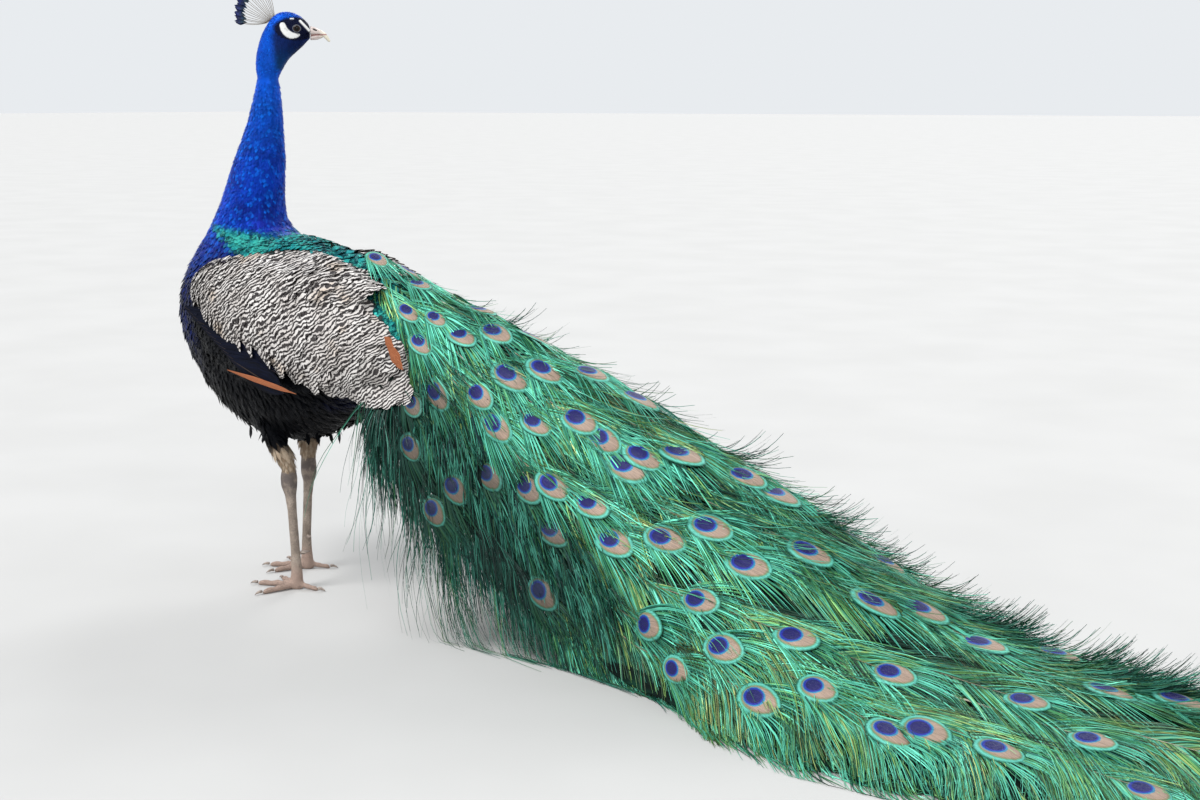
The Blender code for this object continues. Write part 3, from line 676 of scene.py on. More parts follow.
def bodyUnrolled(points):
    # distance along the body's line, and the turn about it
    line = np.array(lieLines[0])
    runs = np.diff(line, axis=0)
    starts = np.concatenate([[0], np.cumsum(np.linalg.norm(runs, axis=1))])
    best, u, v = np.full(len(points), 9.0), np.zeros(len(points)), np.zeros(len(points))
    for k, run in enumerate(runs):
        t = np.clip((points - line[k]) @ run / (run @ run), 0, 1)
        off = points - line[k] - t[:, None] * run
        away = np.linalg.norm(off, axis=1)
        over = unit(np.cross(run, np.array([0, 1.0, 0])))
        turn = np.arctan2(off[:, 1], off @ over)
        better = away < best
        best = np.where(better, away, best)
        u = np.where(better, (starts[k] + t * np.linalg.norm(run)) / starts[-1], u)
        v = np.where(better, turn / math.tau + 0.5, v)
    return u, v


# Small feathers of head, neck, body and thighs
coatSpec = {
    # region: spacing, length, width, rise, most seeds
    "head": (0.0021, 0.0048, 0.0030, 0.20, 22000),
    "neck": (0.0043, 0.0105, 0.0066, 0.22, 26000),
    "mantle": (0.0066, 0.0150, 0.0120, 0.20, 12000),
    "breast": (0.0062, 0.0160, 0.0110, 0.17, 30000),
    "belly": (0.0068, 0.0230, 0.0075, 0.20, 20000),
    "thigh": (0.0042, 0.0120, 0.0040, 0.20, 12000)}


def regionOf(name):
    def pick(points):
        marks = marksAt(points)
        x, y, z = points.T
        onHead = z > 0.795
        mantle = (marks["mantle"] > 0.5) & ~onHead
        leg, thigh = marks["leg"] > 0.5, (marks["thigh"] > 0.5) & (marks["leg"] <= 0.5)
        local = headLocal(points)
        if name == "head":
            # none on the bare skin, round the eye or where the bill leaves
            eye = np.hypot(local[:, 0] - 0.0396, local[:, 2] - 0.857) > 0.0066
            return onHead & (marks["bare"] < 0.3) & eye & (local[:, 0] < 0.0585)
        if name == "neck":
            return ~onHead & (z > 0.545) & ~mantle & (x < 0.0)
        free = ~underFold(x, z, -0.006) | (np.abs(y) < wingTop(x) + 0.004)
        if name == "mantle":
            return mantle & (x < 0.24) & free
        if name == "belly":
            return ~onHead & ~mantle & (z <= 0.33) & ~thigh & ~leg & (x < 0.24)
        if name == "thigh":
            return thigh & (z > 0.195)
        return ~onHead & ~mantle & (z > 0.33) & (z <= 0.545) & (x < 0.10) & ~thigh & free
    return pick


coatPaint = plumage("coatPaint", True)
slotOf = {"neck": "blue_feathers", "head": "blue_feathers", "thigh": "thigh_feathers"}
for region, (spacing, length, width, rise, seeds) in coatSpec.items():
    template = gridTemplate(2, 3) if region in ("head", "neck", "thigh") else gridTemplate(3, 4)
    pick = regionOf(region)
    roots, normals = scattered(pick, lambda p: np.full(len(p), spacing) * (0.85 + 0.3 * rng.random(len(p))),
                               seeds)
    along = lieAt(roots, normals)
    n = len(roots)
    size = 0.85 + 0.3 * rng.random(n)
    if region == "neck":
        size *= 1 - 0.35 * smoothStep(0.70, 0.80, roots[:, 2])
    points, faces, vane = vanes(template, roots - normals * 0.0006, along, normals, length * size,
                                width * size, rise * (0.8 + 0.4 * rng.random(n)), 0.22,
                                rng.normal(0, 0.10, n))
    points[..., 2] = np.maximum(points[..., 2], 0.001)
    values = dict(marksAt(roots + along * length * 0.5))
    values["luck"] = rng.random(n)
    u, v = bodyUnrolled(roots)
    slot = slotOf.get(region, "body_feathers")
    coatPieces("coat_" + region, points, faces, values, vane, atlasPatches(template, u, v), coatPaint, slot)
    print("coat", region, n)


# Wings: barred coverts in rows over each folded wing, dark quills below them
wingSpec = dict(lean=math.radians(31), rowGap=0.40, shortest=0.015, longest=0.042, innerHeight=0.43,
                innerRadius=0.115, proud=0.020, barLean=math.radians(56), barStart=-0.62)


def barPhase(points):
    # how many bars lie before each point: fine ones at the shoulder, wider ones over the middle
    spec = wingSpec
    run = points[..., 0] * math.cos(spec["barLean"]) - points[..., 2] * math.sin(spec["barLean"])
    steps = np.linspace(spec["barStart"], 0.1, 200)
    pitch = 0.0046 + 0.0025 * np.exp(-((steps + 0.33) / 0.09) ** 2) - 0.0010 * smoothStep(-0.16, -0.06, steps)
    passed = np.concatenate([[0], np.cumsum(np.diff(steps) / pitch[1:])])
    return np.interp(run, steps, passed)


def wingSurface(side):
    # places on a folded wing by distance along the body and distance round an inner line
    word = "left" if side < 0 else "right"
    tree = surfaceOf("wing_" + word, "trunk", "neck_lower", "train_fore_" + word)
    spec = wingSpec

    def find(x, c):
        turn = max(0.0, (c - spec["innerHeight"]) / spec["innerRadius"])
        run = Vector((0, side * math.cos(turn), math.sin(turn)))
        hit = tree.ray_cast(Vector((x, 0, min(c, spec["innerHeight"]))) + run * 0.6, -run, 0.6)
        if hit[0] is None or abs(hit[0].y) < wingTop(x) or turn > math.radians(80):
            return None
        high = turn > math.radians(38)
        inside = underFold(x, hit[0].z - high * (0.006 + 0.008 * float(smoothStep(0.0, 0.06, x))))
        away = abs(hit[0].y) - wingTop(x)
        swelling = smoothStep(0.0, 0.030, away) * smoothStep(0.2, 0.7, turn) * smoothStep(0.0, 0.1, x)
        raised = spec["proud"] * float(swelling)
        return np.array(hit[0] + run * raised) if inside else None
    return find


def barredPaint():
    paint = Paint("barredPaint", 0.62, 0.0)
    luck = paint.reads("luck")
    across, along = (paint.split(paint.node("ShaderNodeUVMap", {"uv_map": "vane"}), k) for k in (0, 1))
    bend = (paint.noise(34.0, 2.0) - 0.5) * 3.4 + (paint.noise(120.0, 2.0) - 0.5) * 1.5
    phase = paint.reads("phase") + bend + luck * 0.30 + (across - 0.5) * (across - 0.5) * 0.8
    wave = paint.node("ShaderNodeMath", {"operation": "SINE"}, {0: phase * math.tau})
    speck = paint.noise(420.0, 2.0)
    dark = paint.between(wave + (speck - 0.5) * 0.9, -0.30, 0.05)
    pale = paint.mix(paint.between(paint.noise(30.0, 3.0), 0.35, 0.65), (0.580, 0.540, 0.510),
                     (0.720, 0.690, 0.660))
    pale = paint.mix(paint.between(paint.noise(18.0, 2.0), 0.58, 0.72, 0.0, 0.5), pale, (0.560, 0.400, 0.250))
    ink = paint.mix(paint.between(speck, 0.3, 0.7), (0.012, 0.010, 0.012), (0.035, 0.026, 0.024))
    colour = paint.mix(dark, pale, ink)
    # painted shade: each covert darkens toward its root, under the row above
    colour = paint.mix(paint.between(along, 0.0, 0.5, 0.6, 0.0), colour, (0.03, 0.025, 0.025))
    barbs = paint.node("ShaderNodeTexWave", {"bands_direction": "X"}, {
        "Vector": paint.node("ShaderNodeCombineXYZ", {}, {0: across + along * 0.4, 1: along}),
        "Scale": 9.0, "Distortion": 1.5})
    paint.relief(barbs, 0.0005, 0.4)
    return paint.set(Base_Color=colour)


barred = barredPaint()


def quillPaint(name, deep, bright, rim):
    paint = Paint(name, 0.60, 0.0, Specular_IOR_Level=0.08)
    across, along = (paint.split(paint.node("ShaderNodeUVMap", {"uv_map": "vane"}), k) for k in (0, 1))
    streak = paint.noise(9.0, 3.0, paint.node("ShaderNodeCombineXYZ", {}, {
        0: across * 3.0 + along * 1.2, 1: along * 0.5, 2: paint.reads("luck") * 9.0}))
    colour = paint.mix(paint.between(streak, 0.35, 0.7), deep, bright)
    colour = paint.mix(paint.between(across, 0.80, 0.97), colour, rim)
    fromMiddle = paint.node("ShaderNodeMath", {"operation": "ABSOLUTE"}, {0: across - 0.5})
    shaft = paint.between(fromMiddle, 0.01, 0.03)
    colour = paint.mix((1 - shaft) * 0.5, colour, (0.10, 0.07, 0.05))
    paint.relief(streak, 0.0006, 0.4)
    return paint.set(Base_Color=colour)


darkQuill = quillPaint("darkQuill", (0.0015, 0.002, 0.005), (0.003, 0.005, 0.017), (0.002, 0.0025, 0.005))
rufousQuill = quillPaint("rufousQuill", (0.230, 0.070, 0.030), (0.400, 0.150, 0.070), (0.330, 0.115, 0.055))

covertTemplate = gridTemplate(5, 6)
for side, word in ((-1, "left"), (1, "right")):
    find = wingSurface(side)
    lean = wingSpec["lean"]
    runX, runZ = math.cos(lean), -math.sin(lean)
    roots, outs, lengths = [], [], []
    r, row = -0.52, 0
    while r < 0.12:
        share = min(max((r + 0.42) / 0.44, 0.0), 1.0)
        length = wingSpec["shortest"] + (wingSpec["longest"] - wingSpec["shortest"]) * share ** 0.8
        width = length * (0.86 - 0.20 * share)
        c = 0.10 + (row % 2) * width * 0.25
        while c < 0.76:
            rr = r + rng.normal(0, length * 0.06)
            x, z = rr * runX - c * runZ, rr * runZ + c * runX
            hit = find(x, z)
            if hit is not None:
                near = [find(x + dx, z + dz) for dx, dz in ((0.014, 0), (-0.014, 0), (0, 0.014), (0, -0.014))]
                near = [hit if other is None or abs(other[1] - hit[1]) > 0.016 else other for other in near]
                out = np.cross(near[0] - near[1] + np.array([1e-5, 0, 0]),
                               near[2] - near[3] + np.array([0, 0, 1e-5]))
                out = out / np.linalg.norm(out)
                turn = max(0.1, (z - wingSpec["innerHeight"]) / wingSpec["innerRadius"])
                if out[1] * side * math.cos(turn) + out[2] * math.sin(turn) < 0:
                    out = -out
                roots.append(hit)
                outs.append(out)
                lengths.append(length)
            c += width * 0.50
        r += length * wingSpec["rowGap"]
        row += 1
    roots, outs, lengths = map(np.array, (roots, outs, lengths))
    n = len(roots)
    run = np.array([runX, 0, runZ])[None] + rng.normal(0, 0.05, (n, 3)) * np.array([1, 0, 1])
    along = unit(run - (run * outs).sum(1, keepdims=True) * outs)
    points, faces, vane = vanes(covertTemplate, roots - outs * 0.004, along, outs,
                                lengths * (0.95 + 0.15 * rng.random(n)), lengths * 0.84,
                                np.full(n, 0.13), 0.16, rng.normal(0, 0.05, n))
    values = dict(luck=rng.random(n), phase=barPhase(points))
    low, high = roots.min(0), roots.max(0)
    u, v = ((roots[:, k] - low[k]) / (high[k] - low[k]) * 0.94 + 0.03 for k in (0, 2))
    coatPieces("coverts_" + word, points, faces, values, vane, atlasPatches(covertTemplate, u, v, 0.030),
               barred, "barred_feathers")
    print("coverts", word, n)

# Folded quills below the coverts: dark ones, and the rufous edge that shows under them
quillTemplate = gridTemplate(4, 10)
quillSpec = {
    # name: paint, first root, last root, count, length, width, lean below level, unevenness
    "quills": (darkQuill, (-0.168, 0.099, 0.436), (-0.046, 0.123, 0.366), 12, 0.126, 0.036, 0.36, 0.2),
    "rufous_edge": (rufousQuill, (-0.052, 0.127, 0.351), (-0.052, 0.128, 0.350), 1, 0.132, 0.008, 0.150, 0.2),
    "rufous_tips": (rufousQuill, (0.234, 0.100, 0.420), (0.246, 0.103, 0.396), 9, 0.026, 0.012, 0.70, 0.9)}
for name, (material, first, last, count, length, width, lean, uneven) in quillSpec.items():
    for side, word in ((-1, "left"), (1, "right")):
        share = np.linspace(0, 1, count)[:, None]
        roots = (np.array(first) * (1 - share) + np.array(last) * share) * np.array([1, side, 1])
        along = np.repeat(np.array([[math.cos(lean), 0, -math.sin(lean)]]), count, 0)
        outs = np.repeat(np.array([[0, side * 1.0, 0]]), count, 0)
        sizes = length * (1 - uneven / 2 + uneven * rng.random(count))
        points, faces, vane = vanes(quillTemplate, roots, along, outs, sizes, np.full(count, width),
                                    np.full(count, 0.02), 0.16, rng.normal(0, 0.03, count))
        values = dict(luck=rng.random(count))
        u, v = roots[:, 0] + 0.5, roots[:, 2]
        coatPieces("%s_%s" % (name, word), points, faces, values, vane,
                   atlasPatches(quillTemplate, u, v, 0.02), material, "flight_feathers")
print("wings made")

# Train: a dark bed, then feathers that fan out of the rump, each with loose barbs and an eye
def trainBedPaint():
    paint = Paint("trainBed", 0.8, 0.0, Specular_IOR_Level=0.1)
    streak = paint.noise(60.0, 4.0, paint.stretched((0.25, 1.0, 1.0), (0, 0.30, 0)))
    patch = paint.noise(9.0, 3.0)
    # the bed stands for the deeper feathers: their green, darkened to near black as painted shade in the gaps
    # between barbs
    colour = paint.ramp(paint.between(streak * 0.7 + patch * 0.3, 0.35, 0.65), [
        (0.0, (0.002, 0.005, 0.004)), (0.5, (0.003, 0.014, 0.010)), (1.0, (0.006, 0.036, 0.022))])
    paint.relief(streak, 0.002, 0.8)
    return paint.set(Base_Color=colour)


def makeTrainBed(sink=0.007, hem=0.045):
    bm = bmesh.new()
    for name in trainNodes:
        bm.from_mesh(nodes[name].data)
    bmesh.ops.remove_doubles(bm, verts=bm.verts, dist=1e-6)
    mesh = bpy.data.meshes.new("trainBedRough")
    bm.to_mesh(mesh)
    bm.free()
    holder = bpy.data.objects.new("trainBedRough", mesh)
    bpy.context.scene.collection.objects.link(holder)
    remesh = holder.modifiers.new("remesh", "REMESH")
    remesh.mode = "VOXEL"
    remesh.voxel_size = 0.006
    smooth = holder.modifiers.new("smooth", "SMOOTH")
    smooth.iterations = 4
    graph = bpy.context.evaluated_depsgraph_get()
    mesh = bpy.data.meshes.new_from_object(holder.evaluated_get(graph))
    bpy.data.objects.remove(holder)
    bm = bmesh.new()
    bm.from_mesh(mesh)
    bm.normal_update()
    for v in bm.verts:
        deeper = sink * (1.0 if v.co.z > 0.03 else 0.35)
        v.co = v.co - v.normal * deeper
        x = v.co.x - shift.x
        edge = float(np.interp(x, *zip(*train["axisAt"]))) + hem * (1 - float(smoothStep(0.52, 0.68, x)))
        lifted = max(0.0, min(edge, v.co.z + hem) - v.co.z)
        v.co.z += lifted
        v.co.y -= math.copysign(min(abs(v.co.y - shift.y), 0.6 * lifted), v.co.y - shift.y)
        v.co.z = max(v.co.z, 0.001)
    bm.to_mesh(mesh)
    bm.free()
    return asObject("train_bed", mesh, trainBedPaint(), "train_feathers", *trainNodes)


makeTrainBed()


def barbPaint():
    paint = Paint("barbPaint", 0.42, 0.35, Specular_IOR_Level=0.3)
    luck, layer, tone = (paint.reads(k) for k in ("luck", "layer", "tone"))
    along = paint.split(paint.node("ShaderNodeUVMap", {"uv_map": "vane"}), 1)
    green = paint.ramp(tone, [
        (0.0, (0.002, 0.040, 0.050)), (0.25, (0.008, 0.140, 0.095)), (0.50, (0.055, 0.290, 0.115)),
        (0.75, (0.190, 0.410, 0.110)), (1.0, (0.420, 0.480, 0.160))])
    # painted sheen: random barbs turn bright mint
    mintSheen = paint.mix(paint.between(luck + paint.noise(30.0, 2.0), 0.98, 1.36, 0.0, 0.9), green,
                     (0.110, 0.560, 0.400))
    colour = paint.mix(paint.between(luck, 0.0, 0.40, 0.85, 0.0), mintSheen, (0.004, 0.016, 0.010))
    # painted shade: each barb darkens toward its root by the shaft, under the other barbs
    colour = paint.mix(paint.between(along, 0.0, 0.35, 0.35, 0.0), colour, (0.008, 0.045, 0.030))
    # painted shade: barbs with a high 'layer' (under other feathers, below the shelf, shaded strands) mix
    # toward near-black green
    colour = paint.mix(layer, colour, (0.003, 0.016, 0.012))
    return paint.set(Base_Color=colour)


def ribbons(starts, along, side, out, length, spread, close, sag, curl, steps=5):
    # barbs as thin bent ribbons: they leave at the spread angle and close toward the feather's run
    n = len(starts)
    t = np.linspace(0, 1, steps + 1)
    path = np.zeros((n, steps + 1, 3))
    path[:, 0] = starts
    here = starts.copy()
    for k in range(steps):
        mid = (t[k] + t[k + 1]) / 2
        angle = spread * (1 - close * mid)
        run = along * np.cos(angle)[:, None] + side * np.sin(angle)[:, None]
        run = run + np.array([0, 0, -1.0]) * (sag * mid)[:, None] + out * (curl * mid * mid)[:, None]
        here = here + unit(run) * (length / steps)[:, None]
        path[:, k + 1] = here
    return path


def laidOnTrain(path, lift, hold):
    # hold 1 keeps a point at its lift over the surface, 0 only keeps it from going inside
    x = path[..., 0]
    level = np.interp(x, *zip(*train["axisAt"]))
    y, z = path[..., 1], path[..., 2] - level
    r = np.hypot(y, z)
    turn = np.arctan2(y, z)
    inside = np.abs(turn) <= math.pi / 2
    want = reachAt(x, turn) + lift
    held = np.where(inside, hold * want + (1 - hold) * np.maximum(r, want), r)
    held = np.maximum(held, 1e-5)
    placed = np.stack([x, held * np.sin(turn), level + held * np.cos(turn)], -1)
    placed[..., 2] = np.maximum(placed[..., 2], 0.0015)
    return placed


def ribbonMesh(path, out, width, twist, taper=0.25):
    # two edges along each path; faces between them
    n, m = path.shape[:2]
    run = unit(np.gradient(path, axis=1))
    face = np.broadcast_to(out[:, None], path.shape)
    over = unit(np.cross(face, run))
    lifted = unit(np.cross(run, over))
    edge = over * np.cos(twist)[:, None, None] + lifted * np.sin(twist)[:, None, None]
    t = np.linspace(0, 1, m)
    wide = (width[:, None] * (1 - (1 - taper) * t ** 1.5)[None])[..., None] / 2
    points = np.stack([path - edge * wide, path + edge * wide], 2).reshape(n, m * 2, 3)
    faces = np.array([[2 * k, 2 * k + 1, 2 * k + 3, 2 * k + 2] for k in range(m - 1)])
    vane = np.stack(np.meshgrid([0.0, 1.0], t), -1).reshape(1, m * 2, 2)
    return points, faces, np.broadcast_to(vane, (n, m * 2, 2))


def trainAtlas(x, turn, count, size=0.003):
    u = (x - train["start"] + 0.02) / (train["end"] - train["start"] + 0.1)
    v = turn / math.radians(200) + 0.5
    pad = np.stack(np.meshgrid([-0.5, 0.5], np.linspace(-0.5, 0.5, count // 2)), -1)
    pad = pad.reshape(1, count, 2) * size
    return np.stack([np.clip(u, 0.01, 0.99), np.clip(v, 0.01, 0.99)], -1)[:, None] + pad


# Where the feathers end: staggered rows down the train, closer together near the rump.
trainSpec = dict(firstRow=0.150, lastRow=1.600, rowStep=(0.042, 0.076), acrossStep=(0.056, 0.108),
                 lift=0.0085, visible=0.24, barbGap=0.0016)
tips = []
x, row = trainSpec["firstRow"], 0
while x < trainSpec["lastRow"]:
    share = (x - trainSpec["firstRow"]) / (trainSpec["lastRow"] - trainSpec["firstRow"])
    low, high = trainSpec["acrossStep"]
    gap = low + (high - low) * min(1, share * 1.6)
    arc = turns[::3]
    rim = onTrain(np.full(len(arc), x), arc)
    lengths = np.concatenate([[0], np.cumsum(np.linalg.norm(np.diff(rim, axis=0), axis=1))])
    count = max(1, int(lengths[-1] / gap))
    for k in range(count + (row % 2)):
        place = (k + (0.0 if row % 2 else 0.5)) / count
        turn = float(np.interp(place * lengths[-1], lengths, arc))
        wander = rng.normal(0, 0.10 * gap)
        spot = onTrain(np.array(x), np.array(turn))
        below = abs(turn) - float(shelfTurn(x)) > 0.05 and x < 0.70
        shown = not (below and rng.random() < 0.45)
        if shown and abs(turn) < math.radians(86) and not underFold(spot[0], spot[2], 0.012):
            fromAxis = max(reachAt(np.array(x), np.array(turn)), 0.05)
            tips.append((x + rng.normal(0, 0.10 * gap), turn + wander / fromAxis))
    low, high = trainSpec["rowStep"]
    x += low + (high - low) * min(1, share * 1.5)
    row += 1
tips = np.array(tips)
print("train feathers:", len(tips))

barbParts = []


def addBarbs(path, out, width, twist, luck, layer, tone, root, taper=0.25):
    points, faces, vane = ribbonMesh(path, out, width, twist, taper)
    atlas = trainAtlas(root[:, 0], root[:, 1], points.shape[1])
    barbParts.append((points, faces, vane, atlas, luck, layer, tone, root[:, 0]))


eyeSpots = onTrain(*tips.T, trainSpec["lift"])
for index, (tipX, tipTurn) in enumerate(tips):
    seen = trainSpec["visible"] * (1 + 0.25 * float(smoothStep(0.6, 1.0, tipX)))
    s = np.arange(0.004, min(seen, tipX - train["start"] - 0.02), trainSpec["barbGap"])
    s = np.repeat(s, 2)
    n = len(s)
    s = s + rng.normal(0, 0.0012, n)
    sign = np.where(np.arange(n) % 2 == 0, 1.0, -1.0)
    x = tipX - s
    turn = featherTurn(x, tipX, tipTurn)
    lift = trainSpec["lift"] * (1 - 0.8 * s / trainSpec["visible"])
    along, across, out = trainFrame(x, turn, tipX, tipTurn)
    starts = onTrain(x, turn, lift)
    clear = ~(underFold(x, starts[:, 2], 0.006) & (np.abs(starts[:, 1]) > 0.02)) & (x > 0.17)
    low = smoothStep(0.45, 0.95, np.abs(tipTurn) / (math.pi / 2)) * (1 - smoothStep(0.8, 1.1, tipX))
    back = smoothStep(0.9, 1.4, tipX)
    length = 0.100 + 0.014 * rng.normal(0, 1, n) + 0.015 * rng.normal()
    length = length * (1 + 0.2 * low) * smoothStep(-0.03, 0.08, s)
    flat = smoothStep(0.70, 1.05, tipX)
    outer = sign * np.sign(tipTurn) * smoothStep(0.05, 0.5, np.abs(tipTurn)) * (1 - 0.85 * flat)
    spread = np.radians(27 + 15 * outer + 9 * flat + 2.5 * rng.normal(0, 1, n) + 3 * rng.normal())
    pastShelf = abs(tipTurn) - float(shelfTurn(tipX))
    hanging = smoothStep(-0.05, 0.12, pastShelf) * (1 - smoothStep(0.82, 1.00, tipX))
    edge = smoothStep(-0.55, -0.10, pastShelf) * (1 - hanging) * (1 - flat) * (outer > 0)
    length = np.maximum(length * (1 - 0.42 * edge - 0.30 * hanging), 0.030)
    fall = 0.10 + 0.9 * low + 0.25 * (outer > 0) + 0.10 * rng.random() + 0.05 * rng.random(n)
    path = ribbons(starts, along, across * sign[:, None], out, length, spread, 0.80 - 0.15 * outer, fall,
                   0.05 + 0.15 * rng.random(n))
    t = np.linspace(0, 1, path.shape[1])[None]
    proud = lift[:, None] * (1 - 0.3 * rng.random(n)[:, None]) + 0.006 * t * rng.random(n)[:, None]
    proud = proud + 0.010 * t * t * (rng.random(n)[:, None] > 0.88)
    path = laidOnTrain(path, proud, np.broadcast_to((1 - 0.75 * low) * (1 - 0.3 * t), path.shape[:2]))
    # painted shade: barbs farther back from the feather's tip lie under the next feathers and are painted
    # darker
    layer = smoothStep(0.07, 0.20, s) * 0.92
    wide, twist, luck = 0.0011 + 0.0007 * rng.random(n) + 0.0008 * edge, rng.normal(0, 0.35, n), rng.random(n)
    # painted shade: barbs of feathers that hang below the shelf get a lower tone and a darker 'layer'
    hangingShade = hanging * (0.46 - 0.30 * smoothStep(0.40, 0.70, tipX))
    tone = np.clip(0.60 + 0.05 * flat + 0.15 * rng.normal(0, 1, n) + 0.13 * rng.normal() - hangingShade, 0, 1)
    layer = np.maximum(layer, hanging * (0.70 + 0.28 * smoothStep(0.12, 0.30, 1 - luck)))
    tone = np.clip(tone + 0.22 * edge, 0, 1)
    luck = np.minimum(luck, 1 - 0.35 * edge)
    clear &= rng.random(n) > 0.62 * edge
    off = np.linalg.norm(path[:, 1:, None] - np.delete(eyeSpots, index, 0), axis=-1)
    clear &= ~(off < 0.017).any((1, 2)) | (rng.random(n) > 0.88)
    addBarbs(*(part[clear] for part in (path, out, wide, twist, luck, layer, tone, np.stack([x, turn], 1))))
print("train barbs:", sum(len(p[0]) for p in barbParts))


# Eyes: an oval blade at each feather's end, with its rings
def eyePaint():
    paint = Paint("eyePaint", 0.38, 0.10, Specular_IOR_Level=0.2)
    across, along = (paint.split(paint.node("ShaderNodeUVMap", {"uv_map": "vane"}), k) for k in (0, 1))
    a, t = across * 2 - 1, along * 2 - 1
    wobble = (paint.noise(300.0, 2.0) - 0.5) * 0.10

    def ring(centre, wide, tall):
        off = paint.node("ShaderNodeCombineXYZ", {}, {0: a / wide, 1: (t - centre) / tall})
        return paint.node("ShaderNodeVectorMath", {"operation": "LENGTH"}, {0: off}, out="Value") + wobble

    rim = ring(0.0, 1.0, 1.0)
    shade = paint.reads("shade")
    colour = paint.mix(paint.between(rim, 0.80, 0.92), (0.030, 0.330, 0.260), (0.008, 0.130, 0.070))
    for middle, wide, tall, tint in (
            (0.00, 0.97, 0.99, (0.125, 0.560, 0.450)), (0.02, 0.82, 0.86, (0.100, 0.290, 0.150)),
            (0.03, 0.76, 0.81, (0.300, 0.230, 0.140)), (0.07, 0.65, 0.71, (0.400, 0.285, 0.220)),
            (-0.20, 0.58, 0.52, (0.020, 0.240, 0.420)), (-0.22, 0.52, 0.46, (0.014, 0.022, 0.330)),
            (-0.20, 0.41, 0.37, (0.010, 0.004, 0.110))):
        colour = paint.mix(1 - paint.between(ring(middle, wide, tall), 0.88, 1.0), colour, tint)
    grain = paint.noise(6.0, 3.0, paint.node("ShaderNodeCombineXYZ", {}, {
        0: (a * a + (t + 1.2) * (t + 1.2)) ** 0.5 * 0.3,
        1: paint.node("ShaderNodeMath", {"operation": "ARCTAN2"}, {0: a, 1: t + 1.3}) * 14.0,
        2: paint.reads("luck") * 20.0}))
    colour = paint.mix(paint.between(grain, 0.35, 0.65, 0.45, 0.0), colour, (0.010, 0.030, 0.025))
    colour = paint.mix(shade * 0.62, colour, (0.004, 0.012, 0.010))
    paint.relief(grain, 0.0006, 0.6)
    return paint.set(Base_Color=colour, Roughness=paint.between(grain, 0.3, 0.7, 0.30, 0.5))


def discTemplate(rings=6, points=20):
    bm = bmesh.new()
    bmesh.ops.create_circle(bm, segments=points, radius=1.0, cap_ends=False)
    loop = list(bm.edges)
    for k in range(rings):
        made = bmesh.ops.extrude_edge_only(bm, edges=loop)["geom"]
        verts = [g for g in made if isinstance(g, bmesh.types.BMVert)]
        scale = max(rings - 1 - k, 0.02) / (rings - k)
        bmesh.ops.scale(bm, verts=verts, vec=(scale, scale, 1))
        loop = [g for g in made if isinstance(g, bmesh.types.BMEdge)]
    bm.verts.index_update()
    flat = np.array([(v.co.x, v.co.y) for v in bm.verts])
    faces = np.array([[v.index for v in f.verts] for f in bm.faces])
    bm.free()
    return flat, faces


disc, discFaces = discTemplate()
n = len(tips)
tipX, tipTurn = tips.T
along, across, out = trainFrame(tipX, tipTurn, tipX, tipTurn)
eyeShare = smoothStep(0.10, 0.50, tipX)
half = 0.0130 + 0.0095 * eyeShare + 0.0012 * rng.normal(0, 1, n)
flatTop = (1 - smoothStep(0.5, 1.2, np.abs(tipTurn)))[:, None] * 0.12
out = unit(out + flatTop * np.array([0, 0, 1.0]) + np.array([0, 0, 0.15]))
across = unit(np.cross(out, along))
along = unit(np.cross(across, out))
stretch = 1.35 + 1.6 * flatTop[:, 0]
shapeA = disc[:, 0] * (1 - 0.12 * disc[:, 1])
centre = onTrain(tipX, tipTurn, trainSpec["lift"] + 0.0035)
tilt = rng.normal(0, 0.10, (n, 2))
bulge = 0.10 - 0.22 * (disc ** 2).sum(1)[None]
bulge = bulge + tilt[:, :1] * disc[None, :, 0] + tilt[:, 1:] * disc[None, :, 1]
points = (centre[:, None] + across[:, None] * (shapeA[None] * half[:, None] * 0.92)[..., None] +
          along[:, None] * (disc[None, :, 1] * (half * stretch)[:, None])[..., None] +
          out[:, None] * (half[:, None] * bulge)[..., None])
points[..., 2] = np.maximum(points[..., 2], 0.002)
order = np.lexsort((tipTurn, tipX))
slots = np.empty(n, int)
slots[order] = np.arange(n)
side = math.ceil(math.sqrt(n))
cells = np.stack([(slots % side + 0.5) / side, (slots // side + 0.5) / side], 1)
atlas = cells[:, None] + disc[None] * 0.44 / side
shade = smoothStep(-0.05, 0.12, np.abs(tipTurn) - shelfTurn(tipX)) * (1 - smoothStep(0.55, 0.75, tipX))
eyeVane = np.broadcast_to(disc * 0.5 + 0.5, (n, len(disc), 2))
coatPieces("train_eyes", points, discFaces, dict(luck=rng.random(n), shade=shade), eyeVane, atlas, eyePaint(),
           "train_feathers")

# green barbs that leave the rim of each eye
rimCount = 54
ringTurn = np.tile(np.linspace(-2.75, 2.75, rimCount), n) + rng.normal(0, 0.04, n * rimCount)
which = np.repeat(np.arange(n), rimCount)
rimA, rimT = np.sin(ringTurn), np.cos(ringTurn)
inset = 0.90 + 0.10 * rng.random(len(which))
starts = (centre[which] + across[which] * (rimA * half[which] * 0.92 * inset)[:, None] +
          along[which] * (rimT * (half * stretch)[which] * inset)[:, None] +
          out[which] * (half[which] * (0.10 - 0.22 * inset ** 2) + 0.0007)[:, None])
outward = unit(across[which] * (0.8 * rimA)[:, None] + along[which] * (rimT + 1.5)[:, None])
sideways = unit(np.cross(out[which], outward))
length = (0.024 + 0.020 * rng.random(len(which))) * (0.8 + 0.5 * eyeShare[which]) * (1 + 0.4 * np.abs(rimA))
path = ribbons(starts, outward, sideways * np.sign(-rimA)[:, None], out[which], length,
               np.full(len(which), 0.05), -0.5, 0.25 + 0.3 * rng.random(len(which)),
               0.1 * rng.random(len(which)), 4)
t = np.linspace(0, 1, path.shape[1])[None]
